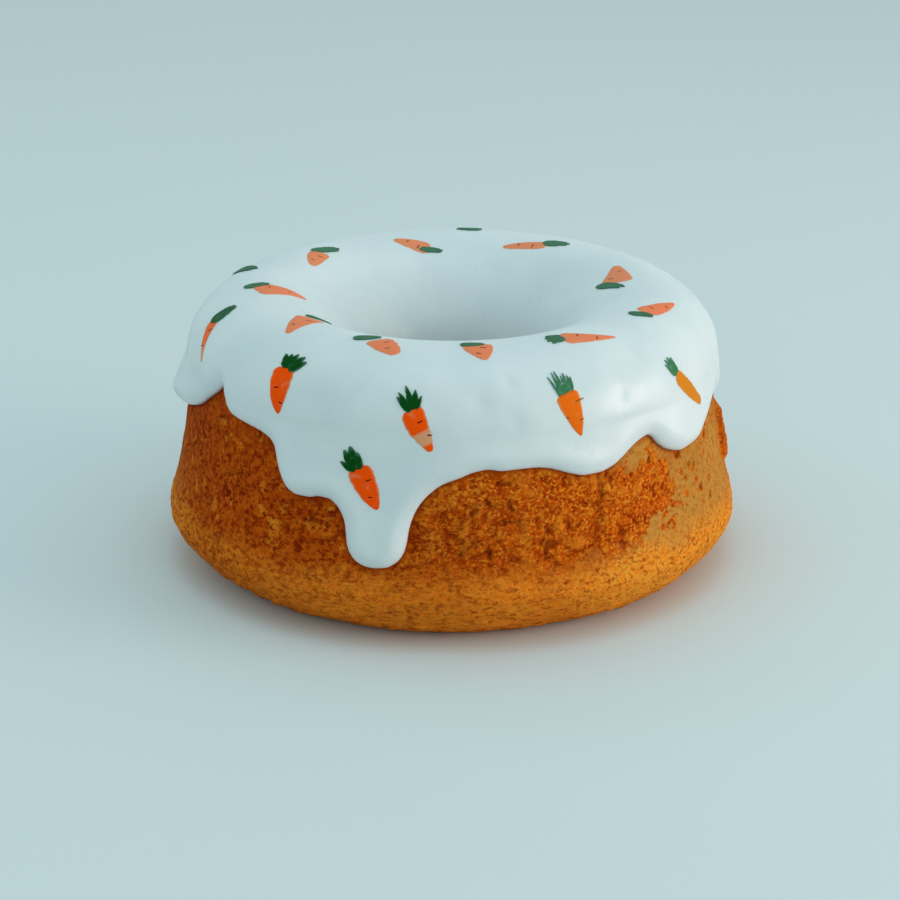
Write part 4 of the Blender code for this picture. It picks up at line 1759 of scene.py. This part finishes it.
        # pale_band makes a band across the root paler.
        if self.pale_band:
            low, high = self.pale_band
            banded = smooth_step(low, low + 0.03, share) * smooth_step(high + 0.03, high, share)
            thin = np.maximum(thin, banded)
        if self.fades:
            thin = np.maximum(thin, smooth_step(0.35, 0.85, share))
        per_stroke = len(values) // len(strokes)
        # Painted sheen: carrots on the icing's top are made paler all over.
        thin = np.maximum(thin, self.painted_sheen)
        thin[per_stroke:] = 0.4 * self.painted_sheen
        add_mask(piece, "thin", thin)
        add_mask(piece, "amber", np.full(len(thin), self.amber))
        piece.data.materials.append(finishes.nick)
        self.second_finish(piece, per_stroke)
        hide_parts(name)
        return piece

    @staticmethod
    def second_finish(piece: bpy.types.Object, first_vertex: int) -> None:
        """Gives the faces of every stroke after the first one the second material.

        Args:
            piece: the mesh object.
            first_vertex: number of the second stroke's first vertex.
        """
        later = corner_vertices(piece.data).reshape(-1, 4).max(axis=1) >= first_vertex
        piece.data.polygons.foreach_set("material_index", later.astype(np.int32))

    def build_leaves(self, icing: IcingCoat, name: str, finishes: Finishes, seed: int) -> bpy.types.Object:
        """The green tuft: a few blades from the crown, each a little higher than the one before.

        Args:
            icing: the coat that the paint lies on.
            name: the solid that the piece stands for.
            finishes: the cake's materials.
            seed: picks the fraying.

        Returns:
            The piece.
        """
        strokes = []
        lean = np.radians(self.turn)
        for count, (along, across, angle, length, width, bend) in enumerate(self.tuft.value):
            back, side = self.leaf_size[0] * along, self.leaf_size[1] * across
            strokes.append(
                Stroke(
                    self.shift[0] + back * np.cos(lean) + side * np.sin(lean),
                    self.shift[1] - back * np.sin(lean) + side * np.cos(lean),
                    180.0 - angle - self.turn, length * self.leaf_size[0], width * self.leaf_size[1], bend,
                    head=0.45, tip=0.16, taper=2.4, ragged=0.2, body=0.1, base=0.34 + 0.02 * count,
                    seed=seed + 3 * count,
                )
            )
        finish = finishes.pale_leaf if self.pale_leaves else finishes.leaf
        piece, values = self.lay(icing, strokes, f"{name}_paint", finish, self.leaf_grid)
        across, share = values.T
        edges = np.maximum(smooth_step(0.8, 1.0, np.abs(across)), smooth_step(0.7, 1.0, share))
        # Painted sheen: the tufts of carrots on the icing's top are made paler.
        thin = np.maximum(0.5 * edges, 0.8 * self.painted_sheen)
        add_mask(piece, "thin", thin)
        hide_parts(name)
        return piece


# The carrots on the icing's top have painted_sheen: their paint is made paler, a painted sheen.
CARROTS: tuple[PaintedCarrot, ...] = (
    PaintedCarrot(
        -112, 13, 2, 11, 7.6, Tuft.FLAT, turn=37, shift=(-2.1, 5.7), leaf_size=(1.35, 1.6), painted_sheen=0.5,
    ),
    PaintedCarrot(
        -84.2, 1.0, -164, 18.4, 15.5, Tuft.FLAT, turn=165, shift=(2.0, 5.6), leaf_size=(0.95, 1.2), painted_sheen=0.6,
        taper=1.5, tip=0.14, bend=-0.04,
    ),
    PaintedCarrot(
        -130, -4.5, 111, 14, 7.9, Tuft.FLAT, turn=44, shift=(-3.8, 0.6), leaf_size=(1.14, 1.2), painted_sheen=0.7,
        taper=2.0, tip=0.26,
    ),
    PaintedCarrot(
        -170.8, -13.1, 57, 14, 6.4, Tuft.FLAT, turn=-24, shift=(-1.1, -0.3), leaf_size=(0.95, 0.62),
        painted_sheen=0.7, taper=2.8, tip=0.3,
    ),
    PaintedCarrot(
        175, 8, 5, 16, 7.4, Tuft.FLAT, turn=90, shift=(-3.4, 0.0), leaf_size=(1.1, 1.5), painted_sheen=0.6,
    ),
    PaintedCarrot(
        145.4, -5.7, 106, 18.1, 5.4, Tuft.FLAT, turn=-4, shift=(-3.4, -1.9), leaf_size=(1.04, 1.2), painted_sheen=0.7,
        taper=2.2, tip=0.3,
    ),
    PaintedCarrot(
        96.1, -9.6, 72, 17.5, 13.0, Tuft.FLAT, turn=-49, shift=(-1.6, 1.3), leaf_size=(1.55, 0.95), painted_sheen=0.7,
        taper=1.1, tip=0.2,
    ),
    PaintedCarrot(
        64.1, 3.8, 69, 19.6, 7.8, Tuft.FLAT, turn=-145, shift=(-2.5, -1.4), leaf_size=(0.85, 1.05), painted_sheen=0.55,
        taper=2.0, tip=0.12, bend=0.03,
    ),
    PaintedCarrot(
        31.2, 1.6, 67, 18.6, 9.4, Tuft.BRUSH, turn=-24, shift=(-0.4, -0.3), leaf_size=(0.95, 0.95), painted_sheen=0.6,
        taper=1.1, tip=0.08,
    ),
    PaintedCarrot(
        6.7, -0.4, 4, 10.6, 11.0, Tuft.FLAT, turn=97, shift=(-0.1, -1.4), leaf_size=(0.87, 0.85), painted_sheen=0.6,
        taper=1.8, bend=0.06,
    ),
    PaintedCarrot(
        -21.3, -1.6, 47, 13.2, 9.8, Tuft.FLAT, turn=101, shift=(-3.6, -2.6), leaf_size=(1.0, 1.1), painted_sheen=0.6,
        taper=2.1, tip=0.31,
    ),
    PaintedCarrot(
        -52.4, -8.6, 24, 17.4, 12.0, Tuft.FLAT, turn=55, shift=(-4.8, -0.8), leaf_size=(0.95, 1.3), painted_sheen=0.6,
        taper=1.0, tip=0.14,
    ),
    PaintedCarrot(
        -73.2, 17.2, 42, 17.0, 6.6, Tuft.FLAT, turn=22, shift=(-2.6, 2.3), leaf_size=(1.0, 1.7), fades=True,
        painted_sheen=0.3, taper=0.95, tip=0.12,
    ),
    PaintedCarrot(
        -38.4, 20.0, 10, 14.8, 9.1, Tuft.FAN, taper=2.5, tip=0.12, nicks=((0.45, -0.2, 2.0), (0.75, 0.3, 1.4)),
    ),
    PaintedCarrot(
        -8.2, 27.5, 28, 15.3, 8.1, Tuft.BLADES, pale_band=(0.5, 0.82), taper=2.3, tip=0.22,
        nicks=((0.3, 0.35, 2.0), (0.62, 0.6, 1.6)),
    ),
    PaintedCarrot(
        -18.2, 48.6, 26, 16.1, 9.3, Tuft.UPRIGHT, taper=2.7, tip=0.15, bend=0.03,
        nicks=((0.33, 0.4, 2.4), (0.68, 0.0, 1.5)),
    ),
    PaintedCarrot(
        23.6, 24.6, 14, 15.0, 9.5, Tuft.SPIKES, pale_leaves=True, taper=1.45, tip=0.09, bend=0.03, amber=0.45,
        nicks=((0.24, 0.75, 3.6), (0.46, -0.5, 1.2), (0.62, 0.45, 1.7)),
    ),
    PaintedCarrot(
        53.5, 28.6, 45, 19.5, 5.7, Tuft.BRUSH, turn=20, shift=(-0.6, 0.6), leaf_size=(0.85, 0.8), amber=0.95,
        pale_leaves=True, taper=3.8, tip=0.47, bend=0.02,
        nicks=((0.25, 0.1, 1.8), (0.42, 0.5, 1.6), (0.6, -0.2, 1.8), (0.78, 0.3, 1.4)),
    ),
    PaintedCarrot(101, 36, -18, 16, 8.6, Tuft.FAN, taper=2.3),
    PaintedCarrot(131, 31, 14, 16, 8.4, Tuft.BLADES, taper=2.0),
    PaintedCarrot(153, 22, -24, 15, 8.8, Tuft.UPRIGHT, taper=2.4),
    PaintedCarrot(-166, 29, 20, 16, 8.4, Tuft.SPIKES, pale_leaves=True, taper=1.6),
    PaintedCarrot(-137, 40, -12, 16, 8.6, Tuft.BLADES, taper=2.5),
    PaintedCarrot(-103, 34, 10, 16, 8.2, Tuft.OVAL, taper=2.2),
)


# ---------------------------------------------------------------- the studio


@dataclass(frozen=True)
class Lamp:
    """A large soft lamp, by its direction and distance from the icing."""

    name: str
    azimuth: float
    rise: float
    distance: float
    size: float
    power: float
    colour: tuple[float, float, float]

    def build(self) -> None:
        """Adds the lamp, turned to face the middle of the icing."""
        data = bpy.data.lights.new(self.name, "AREA")
        data.shape = "SQUARE"
        data.size = self.size
        data.energy = self.power
        data.color = self.colour
        lamp = bpy.data.objects.new(self.name, data)
        turn, rise = np.radians(self.azimuth), np.radians(self.rise)
        level = np.array([np.sin(turn) * np.cos(rise), -np.cos(turn) * np.cos(rise), np.sin(rise)])
        x, y, z = self.distance * level
        lamp.location = np.mean(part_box("icing"), axis=0) + np.array([x, y, z])
        lamp.rotation_euler = (np.arctan2(np.hypot(x, y), z), 0.0, np.arctan2(x, -y))
        bpy.context.scene.collection.objects.link(lamp)


LAMPS = (
    Lamp("side_lamp", 76.0, 8.0, 1.5, 0.9, 13.4, (1.0, 0.80, 0.72)),
    Lamp("sky_panel", 0.0, 89.0, 1.5, 1.2, 3.9, (0.58, 0.86, 1.0)),
)


@dataclass
class Studio:
    """A pale floor, even light from all round, the soft lamps and the camera."""

    distance: float = 0.874
    elevation: float = 22.25
    pitch: float = 20.04
    side_step: float = -0.00075
    lens: float = 88.0
    floor_size: float = 12.0
    floor_colour: Colour = (0.63, 0.71, 0.715, 1.0)
    floor_pale: Colour = (0.6552, 0.7384, 0.7436, 1.0)
    air_colour: Colour = (0.605, 0.718, 0.724, 1.0)

    def build_floor(self) -> bpy.types.Object:
        """A wide plain square at the plate's level, part of the stage.

        Returns:
            The floor.
        """
        x, y = np.meshgrid(np.linspace(-0.5, 0.5, 3), np.linspace(-0.5, 0.5, 3))
        points = np.stack([x, y, np.zeros(x.shape)], axis=-1).reshape(-1, 3) * self.floor_size
        mesh = bpy.data.meshes.new("floor")
        mesh.from_pydata(points.tolist(), [], grid_quads(3, 3, False, False).tolist())
        nodes = Coating.new("floor_plain", 0.7, 0.3, self.floor_colour)
        soft = nodes.noise(nodes.coordinates(), 1.5, 2.0)
        nodes.set("Base Color", nodes.mix(soft, self.floor_colour, self.floor_pale))
        mesh.materials.append(nodes.material)
        floor = bpy.data.objects.new("floor", mesh)
        bpy.context.scene.collection.objects.link(floor)
        return floor

    def build_light(self) -> None:
        """The air's even light and the soft lamps."""
        world = bpy.data.worlds.new("pale_air")
        world.use_nodes = True
        background = world.node_tree.nodes["Background"]
        background.inputs["Color"].default_value = self.air_colour
        background.inputs["Strength"].default_value = 1.0
        bpy.context.scene.world = world
        for lamp in LAMPS:
            lamp.build()

    def build_camera(self) -> None:
        """The camera, a little above the cake's own level and looking down on it."""
        data = bpy.data.cameras.new("camera")
        data.lens = self.lens
        data.sensor_width = 36.0
        data.clip_start, data.clip_end = 0.01, 50.0
        camera = bpy.data.objects.new("camera", data)
        rise = np.radians(self.elevation)
        camera.location = (self.side_step, -self.distance * np.cos(rise), self.distance * np.sin(rise))
        camera.rotation_euler = (np.radians(90.0 - self.pitch), 0.0, 0.0)
        bpy.context.scene.collection.objects.link(camera)
        bpy.context.scene.camera = camera

    def build(self) -> None:
        """Sets up the stage, the light, the camera and plain colours."""
        self.build_camera()
        self.build_floor()
        self.build_light()
        bpy.context.scene.view_settings.view_transform = "Standard"


def report(piece: bpy.types.Object) -> None:
    """Logs a piece's name and how many faces it has."""
    LOG.info("%s: %d faces", piece.name, len(piece.data.polygons))


def main() -> None:
    """Builds the sponge, the icing, the painted carrots and the studio, in that order."""
    logging.basicConfig(level=logging.INFO, format="%(name)s %(message)s")
    finishes = make_finishes()
    for piece in SpongeRing().build(finishes):
        report(piece)
    icing = IcingCoat()
    report(icing.build(finishes))
    for number, carrot in enumerate(CARROTS, start=1):
        name = f"carrot_{number:02d}"
        report(carrot.build_root(icing, f"{name}_root", finishes, 10 * number))
        report(carrot.build_leaves(icing, f"{name}_leaves", finishes, 10 * number + 5))
    Studio().build()


if __name__ == "__main__":
    main()
